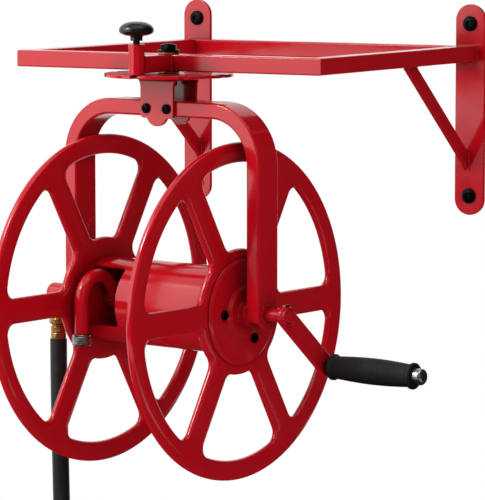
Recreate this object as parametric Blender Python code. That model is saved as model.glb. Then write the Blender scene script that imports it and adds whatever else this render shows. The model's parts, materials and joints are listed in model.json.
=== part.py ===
"""Wall-mounted swivel hose reel with a crank, a spring plunger and a leader hose.

Metres, +Z up. The origin is on the wall face of the left strap, level with the
top face of the bracket frame. The wall is the plane Y = 0 and the reel hangs
in front of it, toward -Y. The reel is drawn swivelled by REST_SWIVEL degrees.
"""
import math

import bmesh
import bpy
from mathutils import Matrix, Vector

for old in list(bpy.data.objects):
    bpy.data.objects.remove(old, do_unlink=True)

# Clearances
SEAT_GAP = 0.0003
RUN_GAP = 0.0005
HOLE_GAP = 0.0003

# Wall bracket
STRAP_SPACING = 0.4064
STRAP_WIDTH = 0.041
STRAP_THICK = 0.005
STRAP_ABOVE = 0.052
STRAP_BELOW = 0.215
STRAP_EDGE = 0.0008
WALL_SCREW_INSET = 0.0245
WALL_SCREW_R = 0.0032
WALL_SCREW_HEAD_R = 0.0095
WALL_SCREW_HEAD_H = 0.0045
FRAME_TUBE = 0.020
FRAME_WALL = 0.002
FRAME_CORNER = 0.0018
PIVOT_OUT = 0.393
BRACE_WIDTH = 0.0165
BRACE_THICK = 0.0065
BRACE_OUT = 0.142
BRACE_DROP = 0.1157
BRACE_INSET = 0.0035

# Swivel pivot
REST_SWIVEL = -7.0
PIVOT_BOLT_R = 0.006
PIVOT_BUSH_WALL = 0.0018
PIVOT_BUSH_FLANGE_R = 0.0125
PIVOT_BUSH_FLANGE = 0.0019
PIVOT_BUSH_DEPTH = 0.0072
PIVOT_WASHER_R = 0.0135
PIVOT_WASHER = 0.0022
PIVOT_NUT_FLATS = 0.018
PIVOT_NUT_H = 0.0062
PIVOT_HEAD_R = 0.0098
PIVOT_HEAD_H = 0.0065
PIVOT_BOLT_PAST = 0.0012
DISC_R = 0.077
DISC_THICK = 0.004
NOTCH_COUNT = 8

# Spring plunger
PLUNGER_OUT = 0.070
BARREL_R = 0.0095
BARREL_ABOVE = 0.014
BARREL_BORE_R = 0.006
PLUNGER_PIN_R = 0.004
PLUNGER_LIFT = 0.010
PLUNGER_COLLAR_H = 0.002
PLUNGER_BUSH_H = 0.004
SPRING_FREE = 0.0195
SPRING_WIRE_R = 0.0005
SPRING_CURLS = 5
KNOB_R = 0.0205
KNOB_NECK_R = 0.0072
KNOB_CAP_H = 0.0165
KNOB_NECK_H = 0.006

# Yoke
SADDLE_WIDTH = 0.050
SADDLE_FLARE = 0.004
SADDLE_PLATE = 0.004
SADDLE_BEND_R = 0.0055
SADDLE_SIDE = 0.0485
SADDLE_LOBE_R = 0.017
SADDLE_LOBE_DROP = 0.0095
SADDLE_BOLT_R = 0.003
SADDLE_BOLT_HEAD_R = 0.006
SADDLE_BOLT_SPACING = 0.031
SADDLE_NUT_FLATS = 0.010
SADDLE_NUT_H = 0.005
YOKE_BELOW_WEB = 0.0235
YOKE_HALF_WIDTH = 0.150
YOKE_THICK = 0.019
YOKE_DEEP = 0.038
YOKE_WALL = 0.002
YOKE_CORNER = 0.003
YOKE_BEND_R = 0.072
AXLE_DROP = 0.300
AXLE_BUSH_WALL = 0.0026
AXLE_BUSH_FLANGE = 0.002

# Reel
FLANGE_R = 0.200
FLANGE_CLEAR = 0.020
FLANGE_THICK = 0.012
FLANGE_EDGE = 0.003
RIM_WIDTH = 0.023
HUB_R = 0.074
HUB_RAISED_R = 0.062
HUB_RAISE = 0.003
BOSS_H = 0.004
BOSS_SLOPE = 0.003
BOSS_TO_BOLT = 0.0012
COLLAR_WALL = 0.005
SPOKE_COUNT = 6
SPOKE_WIDTH = 0.029
SPOKE_EDGE = 0.005
WINDOW_CORNER_R = 0.013
WINDOW_FLARE = 0.007
DRUM_R = 0.0515
DRUM_WALL = 0.0025
DRUM_END = 0.0035
SPIGOT_R = 0.0247
DRUM_WINDOW_LENGTH = 0.053
DRUM_WINDOW_TOP = 58.0
DRUM_WINDOW_LOW = -33.0
HUB_BOLT_RADIUS = 0.038
HUB_BOLT_R = 0.003
HUB_BOLT_HEAD_R = 0.0058
PIPE_R = 0.011
PIPE_WALL = 0.002
SHAFT_PAST_ARM = 0.009
GOOSENECK_R = 0.0085
GOOSENECK_WALL = 0.0018
GOOSENECK_INSET = 0.015
GOOSENECK_BEND_R = 0.030
GOOSENECK_OFFSET = 0.004
GOOSENECK_RISE = 0.002
GOOSENECK_LEG = 0.036
NIPPLE_R = 0.0118
NIPPLE_H = 0.013

# Crank and grip
CRANK_REACH = 0.105
CRANK_ANGLE = -40.4
CRANK_CLEAR = 0.0205
CRANK_THICK = 0.006
CRANK_END_R = 0.0125
CRANK_HUB_H = 0.010
SET_SCREW_R = 0.0023
SPINDLE_R = 0.005
SPINDLE_HEAD_R = 0.0098
SPINDLE_HEAD_H = 0.0125
SPACER_H = 0.006
GRIP_LENGTH = 0.119
GRIP_END_R = 0.0135
GRIP_BELLY_R = 0.0158
GRIP_COLLAR_R = 0.0156
GRIP_COLLAR_H = 0.005

# Inlet and leader hose
INLET_OUT = 0.028
ELBOW_R = 0.0128
ELBOW_COLLAR_R = 0.0150
ELBOW_CUP = 0.011
COUPLING_H = 0.043
COUPLING_R = 0.0096
COUPLING_NECK_R = 0.0065
HOSE_R = 0.0105
HOSE_FREE = 0.303
HOSE_DRIFT = 0.004
COIL_R = 0.105
COIL_PITCH = 0.0235
COIL_TURNS = 2.2
COIL_TUCK = 0.012
COIL_CLEAR = 0.0035
TIE_WIDTH = 0.012
TIE_THICK = 0.0015
TIE_GAP = 0.0008
FAR_COUPLING_R = 0.0135
FAR_COUPLING_H = 0.034

SEGMENTS = 48


def material(name, colour, roughness, metallic):
    made = bpy.data.materials.new(name)
    made.use_nodes = True
    shader = made.node_tree.nodes["Principled BSDF"]
    shader.inputs["Base Color"].default_value = (*colour, 1.0)
    shader.inputs["Roughness"].default_value = roughness
    shader.inputs["Metallic"].default_value = metallic
    made.diffuse_color = (*colour, 1.0)
    return made


def empty(name, parent, location, rotation=(0.0, 0.0, 0.0)):
    made = bpy.data.objects.new(name, None)
    made.empty_display_size = 0.03
    bpy.context.scene.collection.objects.link(made)
    made.parent = parent
    made.location = location
    made.rotation_euler = rotation
    return made


def place(name, data, look, parent, location=(0.0, 0.0, 0.0), rotation=(0.0, 0.0, 0.0)):
    """Adds a piece; its own material is a copy of the look it is given."""
    made = bpy.data.objects.new(name, data)
    bpy.context.scene.collection.objects.link(made)
    made.parent = parent
    made.location = location
    made.rotation_euler = rotation
    own = look.copy()
    own.name = name
    if not data.materials:
        data.materials.append(own)
    made.material_slots[0].link = "OBJECT"
    made.material_slots[0].material = own
    return made


def mesh_of(name, bm, angle=35.0):
    bmesh.ops.remove_doubles(bm, verts=bm.verts, dist=1e-7)
    bmesh.ops.recalc_face_normals(bm, faces=bm.faces)
    data = bpy.data.meshes.new(name)
    bm.to_mesh(data)
    bm.free()
    data.shade_smooth()
    data.set_sharp_from_angle(angle=math.radians(angle))
    return data


def bridge(bm, low, high):
    count = len(low)
    for i in range(count):
        j = (i + 1) % count
        bm.faces.new((low[i], low[j], high[j], high[i]))


def add_turned(bm, profile, segments, matrix=None):
    """Turns a closed profile of (radius, height) points about Z."""
    matrix = matrix or Matrix.Identity(4)
    rings = []
    for radius, height in profile:
        if radius < 1e-7:
            rings.append([bm.verts.new(matrix @ Vector((0.0, 0.0, height)))])
            continue
        ring = []
        for i in range(segments):
            turn = 2 * math.pi * i / segments
            point = Vector((radius * math.cos(turn), radius * math.sin(turn), height))
            ring.append(bm.verts.new(matrix @ point))
        rings.append(ring)
    for k, low in enumerate(rings):
        high = rings[(k + 1) % len(rings)]
        if len(low) > 1 and len(high) > 1:
            bridge(bm, low, high)
        elif len(low) > 1:
            for i in range(segments):
                bm.faces.new((low[i], low[(i + 1) % segments], high[0]))
        elif len(high) > 1:
            for i in range(segments):
                bm.faces.new((low[0], high[(i + 1) % segments], high[i]))


def turned(name, profile, segments):
    bm = bmesh.new()
    add_turned(bm, profile, segments)
    return mesh_of(name, bm)


def add_rod(bm, radius, low, high, segments, matrix=None):
    add_turned(bm, [(0.0, low), (radius, low), (radius, high), (0.0, high)], segments, matrix)


def add_prism(bm, outline, low, high, matrix=None):
    """Extrudes a closed outline of (u, v) points along Z."""
    matrix = matrix or Matrix.Identity(4)
    floor = [bm.verts.new(matrix @ Vector((u, v, low))) for u, v in outline]
    roof = [bm.verts.new(matrix @ Vector((u, v, high))) for u, v in outline]
    bm.faces.new(floor)
    bm.faces.new(roof)
    bridge(bm, floor, roof)


def prism(name, outline, low, high):
    bm = bmesh.new()
    add_prism(bm, outline, low, high)
    return mesh_of(name, bm)


def add_swept(bm, frames, outer, inner=None):
    """Sweeps a section of (a, b) points through frames of (origin, u, v).

    An inner section has as many points as the outer one.
    """
    shells = []
    for section in (outer, inner):
        if section is None:
            continue
        rings = []
        for origin, u, v in frames:
            rings.append([bm.verts.new(origin + a * u + b * v) for a, b in section])
        for low, high in zip(rings, rings[1:]):
            bridge(bm, low, high)
        shells.append(rings)
    for end in (0, -1):
        if inner is None:
            bm.faces.new(shells[0][end])
            continue
        bridge(bm, shells[0][end], shells[1][end])


def circle(radius, count, start=0.0):
    step = 2 * math.pi / count
    return [(radius * math.cos(start + i * step), radius * math.sin(start + i * step)) for i in range(count)]


def rounded_box(width, height, radius, steps):
    """Closed outline of a rectangle with round corners, centred on zero."""
    points = []
    for turn, su, sv in ((0, 1, 1), (90, -1, 1), (180, -1, -1), (270, 1, -1)):
        for i in range(steps + 1):
            angle = math.radians(turn + 90 * i / steps)
            u = su * (width / 2 - radius) + radius * math.cos(angle)
            v = sv * (height / 2 - radius) + radius * math.sin(angle)
            points.append((u, v))
    return points


def slot_outline(start, end, radius, steps):
    """Closed outline round two centres, with tangent sides."""
    along = math.atan2(end[1] - start[1], end[0] - start[0])
    points = []
    for centre, base in ((end, along - math.pi / 2), (start, along + math.pi / 2)):
        for i in range(steps + 1):
            angle = base + math.pi * i / steps
            points.append((centre[0] + radius * math.cos(angle), centre[1] + radius * math.sin(angle)))
    return points


def hexagon(flats):
    return circle(flats / math.sqrt(3), 6)


def nut_mesh(name, flats, low, high):
    """Hexagon nut with its outer corners cut back, without its bore."""
    bm = bmesh.new()
    rings = []
    for height, share in ((low, 1.0), (high - 0.09 * flats, 1.0), (high, 0.9)):
        rings.append([bm.verts.new((u * share, v * share, height)) for u, v in hexagon(flats)])
    bridge(bm, rings[0], rings[1])
    bridge(bm, rings[1], rings[2])
    bm.faces.new(rings[0])
    bm.faces.new(rings[2])
    return mesh_of(name, bm)


def shape_with(target, name, bm, operation):
    """Joins a hidden tool to a piece in the piece's own frame."""
    tool = bpy.data.objects.new(target.name + "_" + name, mesh_of(target.name + "_" + name, bm))
    bpy.context.scene.collection.objects.link(tool)
    tool.parent = target.parent
    tool.location = target.location
    tool.rotation_euler = target.rotation_euler
    tool.hide_render = True
    tool.display_type = "WIRE"
    step = target.modifiers.new(name, "BOOLEAN")
    step.operation = operation
    step.object = tool
    return tool


def soften(target, width):
    step = target.modifiers.new("edges", "BEVEL")
    step.width = width
    step.segments = 1
    step.limit_method = "ANGLE"
    step.angle_limit = math.radians(50)


ALONG_X = Matrix.Rotation(math.pi / 2, 4, "Y")
ALONG_Y = Matrix.Rotation(-math.pi / 2, 4, "X")
TURN_X = (0.0, math.pi / 2, 0.0)
YZ_PLANE = Matrix(((0, 0, 1, 0), (1, 0, 0, 0), (0, 1, 0, 0), (0, 0, 0, 1)))

RED = material("red_enamel", (0.62, 0.012, 0.022), 0.12, 0.0)
BLACK = material("black_plastic", (0.012, 0.012, 0.013), 0.35, 0.0)
DARK = material("black_fastener", (0.022, 0.022, 0.024), 0.38, 0.9)
STEEL = material("bright_steel", (0.62, 0.63, 0.63), 0.28, 1.0)
BRONZE = material("bush_bronze", (0.45, 0.32, 0.16), 0.38, 1.0)
BRASS = material("coupling_brass", (0.66, 0.44, 0.17), 0.3, 1.0)
RUBBER = material("hose_rubber", (0.018, 0.022, 0.024), 0.5, 0.0)
STRAP_CLOTH = material("tie_strap", (0.03, 0.03, 0.032), 0.7, 0.0)

# Frames of the moving pieces
DISC_TOP = -(FRAME_TUBE + SEAT_GAP + PIVOT_BUSH_FLANGE + RUN_GAP)
assembly = empty("assembly", None, (STRAP_SPACING / 2, 0.0, 0.0))
swivel = empty("swivel_axis", assembly, (0.0, -PIVOT_OUT, 0.0), (0.0, 0.0, math.radians(REST_SWIVEL)))
axle = empty("reel_axis", swivel, (0.0, 0.0, -AXLE_DROP))
plunger = empty("plunger_axis", assembly, (0.0, -(PIVOT_OUT + PLUNGER_OUT), 0.0))
PIN_Y = CRANK_REACH * math.cos(math.radians(CRANK_ANGLE))
PIN_Z = CRANK_REACH * math.sin(math.radians(CRANK_ANGLE))
ARM_X = YOKE_HALF_WIDTH + CRANK_CLEAR + 2 * RUN_GAP
grip_axis = empty("grip_axis", axle, (ARM_X, PIN_Y, PIN_Z))


# Wall bracket
def strap(name, side):
    """Flat bar with half-round ends and two screw holes."""
    r = STRAP_WIDTH / 2
    outline = slot_outline((0.0, -(STRAP_BELOW - r)), (0.0, STRAP_ABOVE - r), r, 8)
    bm = bmesh.new()
    add_prism(bm, outline, 0.0, STRAP_THICK, ALONG_Y.inverted())
    made = place(name, mesh_of(name, bm), RED, assembly, (side * STRAP_SPACING / 2, 0.0, 0.0))
    soften(made, STRAP_EDGE)
    holes = bmesh.new()
    for height in screw_heights():
        at = Matrix.Translation((0.0, 0.0, height)) @ ALONG_Y.inverted()
        add_rod(holes, WALL_SCREW_R + HOLE_GAP, -0.002, STRAP_THICK + 0.002, 10, at)
    shape_with(made, "holes", holes, "DIFFERENCE")
    return made


def screw_heights():
    return (STRAP_ABOVE - WALL_SCREW_INSET, -(STRAP_BELOW - WALL_SCREW_INSET))


def wall_screw(name, side, height):
    """Round-headed screw with a hex recess, seen to the wall face only."""
    head = STRAP_THICK + SEAT_GAP
    r = WALL_SCREW_HEAD_R
    h = WALL_SCREW_HEAD_H
    profile = [(0.0, SEAT_GAP), (WALL_SCREW_R, SEAT_GAP), (WALL_SCREW_R, head), (r, head)]
    profile += [(r, head + 0.25 * h), (0.85 * r, head + 0.72 * h), (0.5 * r, head + h), (0.0, head + h)]
    bm = bmesh.new()
    add_turned(bm, profile, 12, ALONG_Y.inverted())
    made = place(name, mesh_of(name, bm), DARK, assembly, (side * STRAP_SPACING / 2, 0.0, height))
    recess = bmesh.new()
    add_prism(recess, hexagon(0.42 * r), head + 0.45 * h, head + 1.5 * h, ALONG_Y.inverted())
    shape_with(made, "recess", recess, "DIFFERENCE")


def mitred_tube(name, length, location, turn):
    """Square tube with 45 degree ends; its short side faces local +Y."""
    half = length / 2 - SEAT_GAP / 2
    bm = bmesh.new()
    rings = []
    for size, corner in ((FRAME_TUBE, FRAME_CORNER), (FRAME_TUBE - 2 * FRAME_WALL, 0.0004)):
        for side in (-1, 1):
            ring = []
            for y, z in rounded_box(size, size, corner, 1):
                ring.append(bm.verts.new((side * (half - (y + FRAME_TUBE / 2)), y, z - FRAME_TUBE / 2)))
            rings.append(ring)
    bridge(bm, rings[0], rings[1])
    bridge(bm, rings[2], rings[3])
    bridge(bm, rings[0], rings[2])
    bridge(bm, rings[1], rings[3])
    return place(name, mesh_of(name, bm), RED, assembly, location, (0.0, 0.0, turn))


def brace(name, side):
    """Flat bar from the side tube's underside to the strap's face."""
    top = -(FRAME_TUBE + SEAT_GAP)
    front = -(STRAP_THICK + SEAT_GAP)
    slope = math.atan2(BRACE_DROP, BRACE_OUT)
    cut_top = BRACE_WIDTH / math.sin(slope)
    cut_low = BRACE_WIDTH / math.cos(slope)
    outline = [(front - BRACE_OUT, top), (front - BRACE_OUT - cut_top, top)]
    outline += [(front, top - BRACE_DROP - cut_low), (front, top - BRACE_DROP)]
    bm = bmesh.new()
    add_prism(bm, outline, -BRACE_THICK / 2, BRACE_THICK / 2, YZ_PLANE)
    made = place(name, mesh_of(name, bm), RED, assembly, (side * (STRAP_SPACING / 2 - BRACE_INSET), 0.0, 0.0))
    soften(made, 0.0006)


FRAME_WIDE = STRAP_SPACING + FRAME_TUBE
FRAME_BACK = -(STRAP_THICK + SEAT_GAP)
FRAME_FRONT = -(PIVOT_OUT + FRAME_TUBE / 2)
FRAME_LONG = FRAME_BACK - FRAME_FRONT
strap("left_wall_strap", -1)
strap("right_wall_strap", 1)
for number, (side, height) in enumerate([(s, z) for s in (-1, 1) for z in screw_heights()], 1):
    wall_screw("wall_screw_%d" % number, side, height)
front_tube = mitred_tube("front_frame_tube", FRAME_WIDE, (0.0, -PIVOT_OUT, 0.0), 0.0)
mitred_tube("rear_frame_tube", FRAME_WIDE, (0.0, FRAME_BACK - FRAME_TUBE / 2, 0.0), math.pi)
MIDDLE_Y = (FRAME_BACK + FRAME_FRONT) / 2
mitred_tube("left_frame_tube", FRAME_LONG, (-STRAP_SPACING / 2, MIDDLE_Y, 0.0), -math.pi / 2)
mitred_tube("right_frame_tube", FRAME_LONG, (STRAP_SPACING / 2, MIDDLE_Y, 0.0), math.pi / 2)
brace("left_brace", -1)
brace("right_brace", 1)

# Pivot bushes in the front tube
BUSH_BORE = PIVOT_BOLT_R + HOLE_GAP
BUSH_R = BUSH_BORE + PIVOT_BUSH_WALL
holes = bmesh.new()
add_rod(holes, BUSH_R + SEAT_GAP, -(FRAME_TUBE + 0.002), 0.002, 18)
shape_with(front_tube, "pivot_holes", holes, "DIFFERENCE")


def pivot_bush(name, flip):
    low = SEAT_GAP
    high = SEAT_GAP + PIVOT_BUSH_FLANGE
    profile = [(BUSH_BORE, -PIVOT_BUSH_DEPTH), (BUSH_R, -PIVOT_BUSH_DEPTH), (BUSH_R, low)]
    profile += [(PIVOT_BUSH_FLANGE_R, low), (PIVOT_BUSH_FLANGE_R, high), (BUSH_BORE, high)]
    at = (0.0, -PIVOT_OUT, -FRAME_TUBE if flip else 0.0)
    place(name, turned(name, profile, 18), BRONZE, assembly, at, (math.pi if flip else 0.0, 0.0, 0.0))


pivot_bush("upper_pivot_bush", False)
pivot_bush("lower_pivot_bush", True)

# Plunger arm, barrel and the bush that closes the barrel's top
arm_length = PLUNGER_OUT - FRAME_TUBE / 2 - SEAT_GAP - 0.5 * BARREL_R
arm_frames = []
for reach in (0.0, arm_length):
    origin = Vector((0.0, FRAME_FRONT - SEAT_GAP - reach, -FRAME_TUBE / 2))
    arm_frames.append((origin, Vector((1, 0, 0)), Vector((0, 0, 1))))
bm = bmesh.new()
bore = FRAME_TUBE - 2 * FRAME_WALL
arm_inside = rounded_box(bore, bore, 0.0004, 1)
add_swept(bm, arm_frames, rounded_box(FRAME_TUBE, FRAME_TUBE, FRAME_CORNER, 1), arm_inside)
plunger_arm = place("plunger_arm", mesh_of("plunger_arm", bm), RED, assembly)
cope = bmesh.new()
at = Matrix.Translation((0.0, -(PIVOT_OUT + PLUNGER_OUT), 0.0))
add_rod(cope, BARREL_R + SEAT_GAP, -2 * FRAME_TUBE, FRAME_TUBE, 20, at)
shape_with(plunger_arm, "cope", cope, "DIFFERENCE")

BARREL_LOW = DISC_TOP + RUN_GAP + 0.0003
PIN_LOW = DISC_TOP + SEAT_GAP
PIN_HOLE_R = PLUNGER_PIN_R + HOLE_GAP
COLLAR_TOP = BARREL_ABOVE - PLUNGER_BUSH_H - 2 * SEAT_GAP - SPRING_FREE
barrel = [(PIN_HOLE_R, BARREL_LOW), (BARREL_R - 0.0008, BARREL_LOW), (BARREL_R, BARREL_LOW + 0.0008)]
barrel += [(BARREL_R, BARREL_ABOVE - 0.0008), (BARREL_R - 0.0008, BARREL_ABOVE)]
barrel += [(BARREL_BORE_R, BARREL_ABOVE), (BARREL_BORE_R, COLLAR_TOP - PLUNGER_COLLAR_H - SEAT_GAP)]
barrel += [(PIN_HOLE_R, COLLAR_TOP - PLUNGER_COLLAR_H - SEAT_GAP)]
place("plunger_barrel", turned("plunger_barrel", barrel, 20), RED, plunger)
plug_r = BARREL_BORE_R - SEAT_GAP
bush = [(PIN_HOLE_R, BARREL_ABOVE - PLUNGER_BUSH_H), (plug_r, BARREL_ABOVE - PLUNGER_BUSH_H)]
bush += [(plug_r, BARREL_ABOVE), (PIN_HOLE_R, BARREL_ABOVE)]
place("plunger_bush", turned("plunger_bush", bush, 14), STEEL, plunger)

# The plunger pin, its knob and its spring
NECK_LOW = BARREL_ABOVE + DISC_THICK
KNOB_LOW = NECK_LOW + KNOB_NECK_H
KNOB_TOP = KNOB_LOW + KNOB_CAP_H
TANG_TOP = KNOB_LOW + 0.45 * KNOB_CAP_H
pin = [(0.0, PIN_LOW), (PLUNGER_PIN_R - 0.0008, PIN_LOW), (PLUNGER_PIN_R, PIN_LOW + 0.0008)]
pin += [(PLUNGER_PIN_R, COLLAR_TOP - PLUNGER_COLLAR_H)]
pin += [(BARREL_BORE_R - HOLE_GAP, COLLAR_TOP - PLUNGER_COLLAR_H)]
pin += [(BARREL_BORE_R - HOLE_GAP, COLLAR_TOP), (PLUNGER_PIN_R, COLLAR_TOP)]
pin += [(PLUNGER_PIN_R, TANG_TOP), (0.0, TANG_TOP)]
place("plunger_pin", turned("plunger_pin", pin, 12), DARK, plunger)
knob = [(PIN_HOLE_R, NECK_LOW), (KNOB_NECK_R, NECK_LOW), (KNOB_NECK_R, KNOB_LOW)]
knob += [(0.72 * KNOB_R, KNOB_LOW + 0.06 * KNOB_CAP_H), (0.95 * KNOB_R, KNOB_LOW + 0.2 * KNOB_CAP_H)]
knob += [(KNOB_R, KNOB_LOW + 0.36 * KNOB_CAP_H), (0.96 * KNOB_R, KNOB_LOW + 0.54 * KNOB_CAP_H)]
knob += [(0.8 * KNOB_R, KNOB_LOW + 0.78 * KNOB_CAP_H), (0.5 * KNOB_R, KNOB_LOW + 0.94 * KNOB_CAP_H)]
knob += [(0.0, KNOB_TOP)]
knob += [(0.0, TANG_TOP + SEAT_GAP), (PIN_HOLE_R, TANG_TOP + SEAT_GAP)]
place("plunger_knob", turned("plunger_knob", knob, 20), BLACK, plunger)


def tube_curve(name, points, radius, sides):
    """Round tube on a polyline, with closed ends."""
    data = bpy.data.curves.new(name, "CURVE")
    data.dimensions = "3D"
    data.bevel_depth = radius
    data.bevel_resolution = sides
    data.use_fill_caps = True
    spline = data.splines.new("POLY")
    spline.points.add(len(points) - 1)
    for spot, point in zip(spline.points, points):
        spot.co = (*point, 1.0)
    return data


coil_r = (PLUNGER_PIN_R + BARREL_BORE_R) / 2
spring_points = []
spring_rise = SPRING_FREE - 2 * SPRING_WIRE_R
for i in range(SPRING_CURLS * 8 + 1):
    turn = 2 * math.pi * i / 8
    height = COLLAR_TOP + SEAT_GAP + SPRING_WIRE_R + spring_rise * i / (SPRING_CURLS * 8)
    spring_points.append((coil_r * math.cos(turn), coil_r * math.sin(turn), height))
place("plunger_spring", tube_curve("plunger_spring", spring_points, SPRING_WIRE_R, 0), STEEL, plunger)

# Index disc, with notches that the plunger pin drops into
notch_floor = PLUNGER_OUT - PLUNGER_PIN_R - RUN_GAP
notch_half = PLUNGER_PIN_R + RUN_GAP
DISC_LOW = DISC_TOP - DISC_THICK
disc_profile = [(BUSH_BORE, DISC_LOW), (DISC_R, DISC_LOW), (DISC_R, DISC_TOP), (BUSH_BORE, DISC_TOP)]
disc = place("index_disc", turned("index_disc", disc_profile, 48), RED, swivel)
notches = bmesh.new()
for k in range(NOTCH_COUNT):
    turn = -math.pi / 2 - math.radians(REST_SWIVEL) + 2 * math.pi * k / NOTCH_COUNT
    outline = slot_outline((notch_floor + notch_half, 0.0), (DISC_R + 0.02, 0.0), notch_half, 4)
    add_prism(notches, outline, DISC_LOW - 0.001, DISC_TOP + 0.001, Matrix.Rotation(turn, 4, "Z"))
shape_with(disc, "notches", notches, "DIFFERENCE")

# Saddle, an inverted U of bent plate between the disc and the yoke
WEB_TOP = DISC_LOW - SEAT_GAP
WEB_LOW = WEB_TOP - SADDLE_PLATE
YOKE_TOP = WEB_LOW - YOKE_BELOW_WEB
YOKE_MID = YOKE_TOP - YOKE_THICK / 2
BOLT_Z = YOKE_MID
PLATE_IN = YOKE_DEEP / 2 + SEAT_GAP
PLATE_OUT = PLATE_IN + SADDLE_PLATE
SADDLE_LOW = WEB_TOP - SADDLE_SIDE
LOBE_Z = SADDLE_LOW + SADDLE_LOBE_R - SADDLE_LOBE_DROP


def saddle():
    section = []
    for i in range(4):
        angle = math.radians(90 * i / 3)
        y = PLATE_OUT - SADDLE_BEND_R + SADDLE_BEND_R * math.cos(angle)
        z = WEB_TOP - SADDLE_BEND_R + SADDLE_BEND_R * math.sin(angle)
        section.append((y, z))
    section += [(-y, z) for y, z in reversed(section)]
    low = SADDLE_LOW - 2 * SADDLE_LOBE_R
    section += [(-PLATE_OUT, low), (-PLATE_IN, low), (-PLATE_IN, WEB_LOW), (PLATE_IN, WEB_LOW)]
    section += [(PLATE_IN, low), (PLATE_OUT, low)]
    half = SADDLE_WIDTH / 2
    bm = bmesh.new()
    add_prism(bm, section, -half - SADDLE_FLARE - 0.005, half + SADDLE_FLARE + 0.005, YZ_PLANE)
    made = place("saddle", mesh_of("saddle", bm), RED, swivel)
    side = [(half + SADDLE_FLARE, WEB_TOP + 0.005), (half + SADDLE_FLARE, WEB_TOP - 0.002)]
    side += [(half + 0.35 * SADDLE_FLARE, WEB_TOP - 0.0065), (half, WEB_TOP - 0.012)]
    side += [(half, SADDLE_LOW + 0.004), (half - 0.004, SADDLE_LOW), (SADDLE_LOBE_R * 0.94, SADDLE_LOW)]
    lobe = []
    start = math.asin(max(-0.9, min(0.9, (SADDLE_LOW - LOBE_Z) / SADDLE_LOBE_R)))
    for i in range(9):
        angle = start - (math.pi + 2 * start) * i / 8
        lobe.append((SADDLE_LOBE_R * math.cos(angle), LOBE_Z + SADDLE_LOBE_R * math.sin(angle)))
    outline = side[:-1] + lobe + [(-x, z) for x, z in reversed(side[:-1])]
    tool = bmesh.new()
    add_prism(tool, [(x, -z) for x, z in outline], -2 * PLATE_OUT, 2 * PLATE_OUT, ALONG_Y)
    shape_with(made, "outline", tool, "INTERSECT")
    holes = bmesh.new()
    add_rod(holes, BUSH_BORE, WEB_LOW - 0.002, WEB_TOP + 0.002, 16)
    for x in bolt_places():
        at = Matrix.Translation((x, 0.0, BOLT_Z)) @ ALONG_Y
        add_rod(holes, SADDLE_BOLT_R + HOLE_GAP, -2 * PLATE_OUT, 2 * PLATE_OUT, 10, at)
    shape_with(made, "holes", holes, "DIFFERENCE")


def bolt_places():
    return (-SADDLE_BOLT_SPACING / 2, SADDLE_BOLT_SPACING / 2)


def dome(r, h, base):
    """Profile of a low round head that starts at the height given."""
    flank = [(r, base), (r, base + 0.3 * h), (0.82 * r, base + 0.76 * h)]
    return flank + [(0.45 * r, base + h), (0.0, base + h)]


saddle()
NUT_OUT = PLATE_OUT + SEAT_GAP
for x, label in zip(bolt_places(), ("left", "right")):
    name = label + "_saddle_bolt"
    end = -(NUT_OUT + SADDLE_NUT_H + 0.0015)
    profile = [(0.0, end), (SADDLE_BOLT_R, end), (SADDLE_BOLT_R, NUT_OUT)]
    profile += dome(SADDLE_BOLT_HEAD_R, 0.0038, NUT_OUT)
    bm = bmesh.new()
    add_turned(bm, profile, 12, ALONG_Y.inverted())
    place(name, mesh_of(name, bm), DARK, swivel, (x, 0.0, BOLT_Z))
    name = label + "_saddle_nut"
    nut = place(name, nut_mesh(name, SADDLE_NUT_FLATS, 0.0, SADDLE_NUT_H), DARK, swivel)
    nut.location = (x, NUT_OUT, BOLT_Z)
    nut.rotation_euler = (-math.pi / 2, 0.0, 0.0)
    bore = bmesh.new()
    add_rod(bore, SADDLE_BOLT_R + HOLE_GAP, -0.002, SADDLE_NUT_H + 0.002, 10)
    shape_with(nut, "bore", bore, "DIFFERENCE")

# Pivot bolt, washer and nut
WASHER_LOW = SEAT_GAP + PIVOT_BUSH_FLANGE + SEAT_GAP
NUT_LOW = WASHER_LOW + PIVOT_WASHER + SEAT_GAP
NUT_TOP = NUT_LOW + PIVOT_NUT_H
HEAD_TOP = WEB_LOW - SEAT_GAP
bm = bmesh.new()
head_r = PIVOT_HEAD_R
shank = [(0.0, HEAD_TOP - PIVOT_HEAD_H), (0.9 * head_r, HEAD_TOP - PIVOT_HEAD_H)]
shank += [(head_r, HEAD_TOP - 0.8 * PIVOT_HEAD_H), (head_r, HEAD_TOP), (PIVOT_BOLT_R, HEAD_TOP)]
shank += [(PIVOT_BOLT_R, NUT_TOP + PIVOT_BOLT_PAST - 0.0008)]
shank += [(PIVOT_BOLT_R - 0.0008, NUT_TOP + PIVOT_BOLT_PAST), (0.0, NUT_TOP + PIVOT_BOLT_PAST)]
add_turned(bm, shank, 14)
place("pivot_bolt", mesh_of("pivot_bolt", bm), DARK, swivel)
washer = [(BUSH_BORE, WASHER_LOW), (PIVOT_WASHER_R, WASHER_LOW), (PIVOT_WASHER_R, WASHER_LOW + PIVOT_WASHER)]
washer += [(BUSH_BORE, WASHER_LOW + PIVOT_WASHER)]
place("pivot_washer", turned("pivot_washer", washer, 20), DARK, swivel)
pivot_nut = place("pivot_nut", nut_mesh("pivot_nut", PIVOT_NUT_FLATS, NUT_LOW, NUT_TOP), DARK, swivel)
bore = bmesh.new()
add_rod(bore, BUSH_BORE, NUT_LOW - 0.002, NUT_TOP + 0.002, 14)
shape_with(pivot_nut, "bore", bore, "DIFFERENCE")

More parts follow.
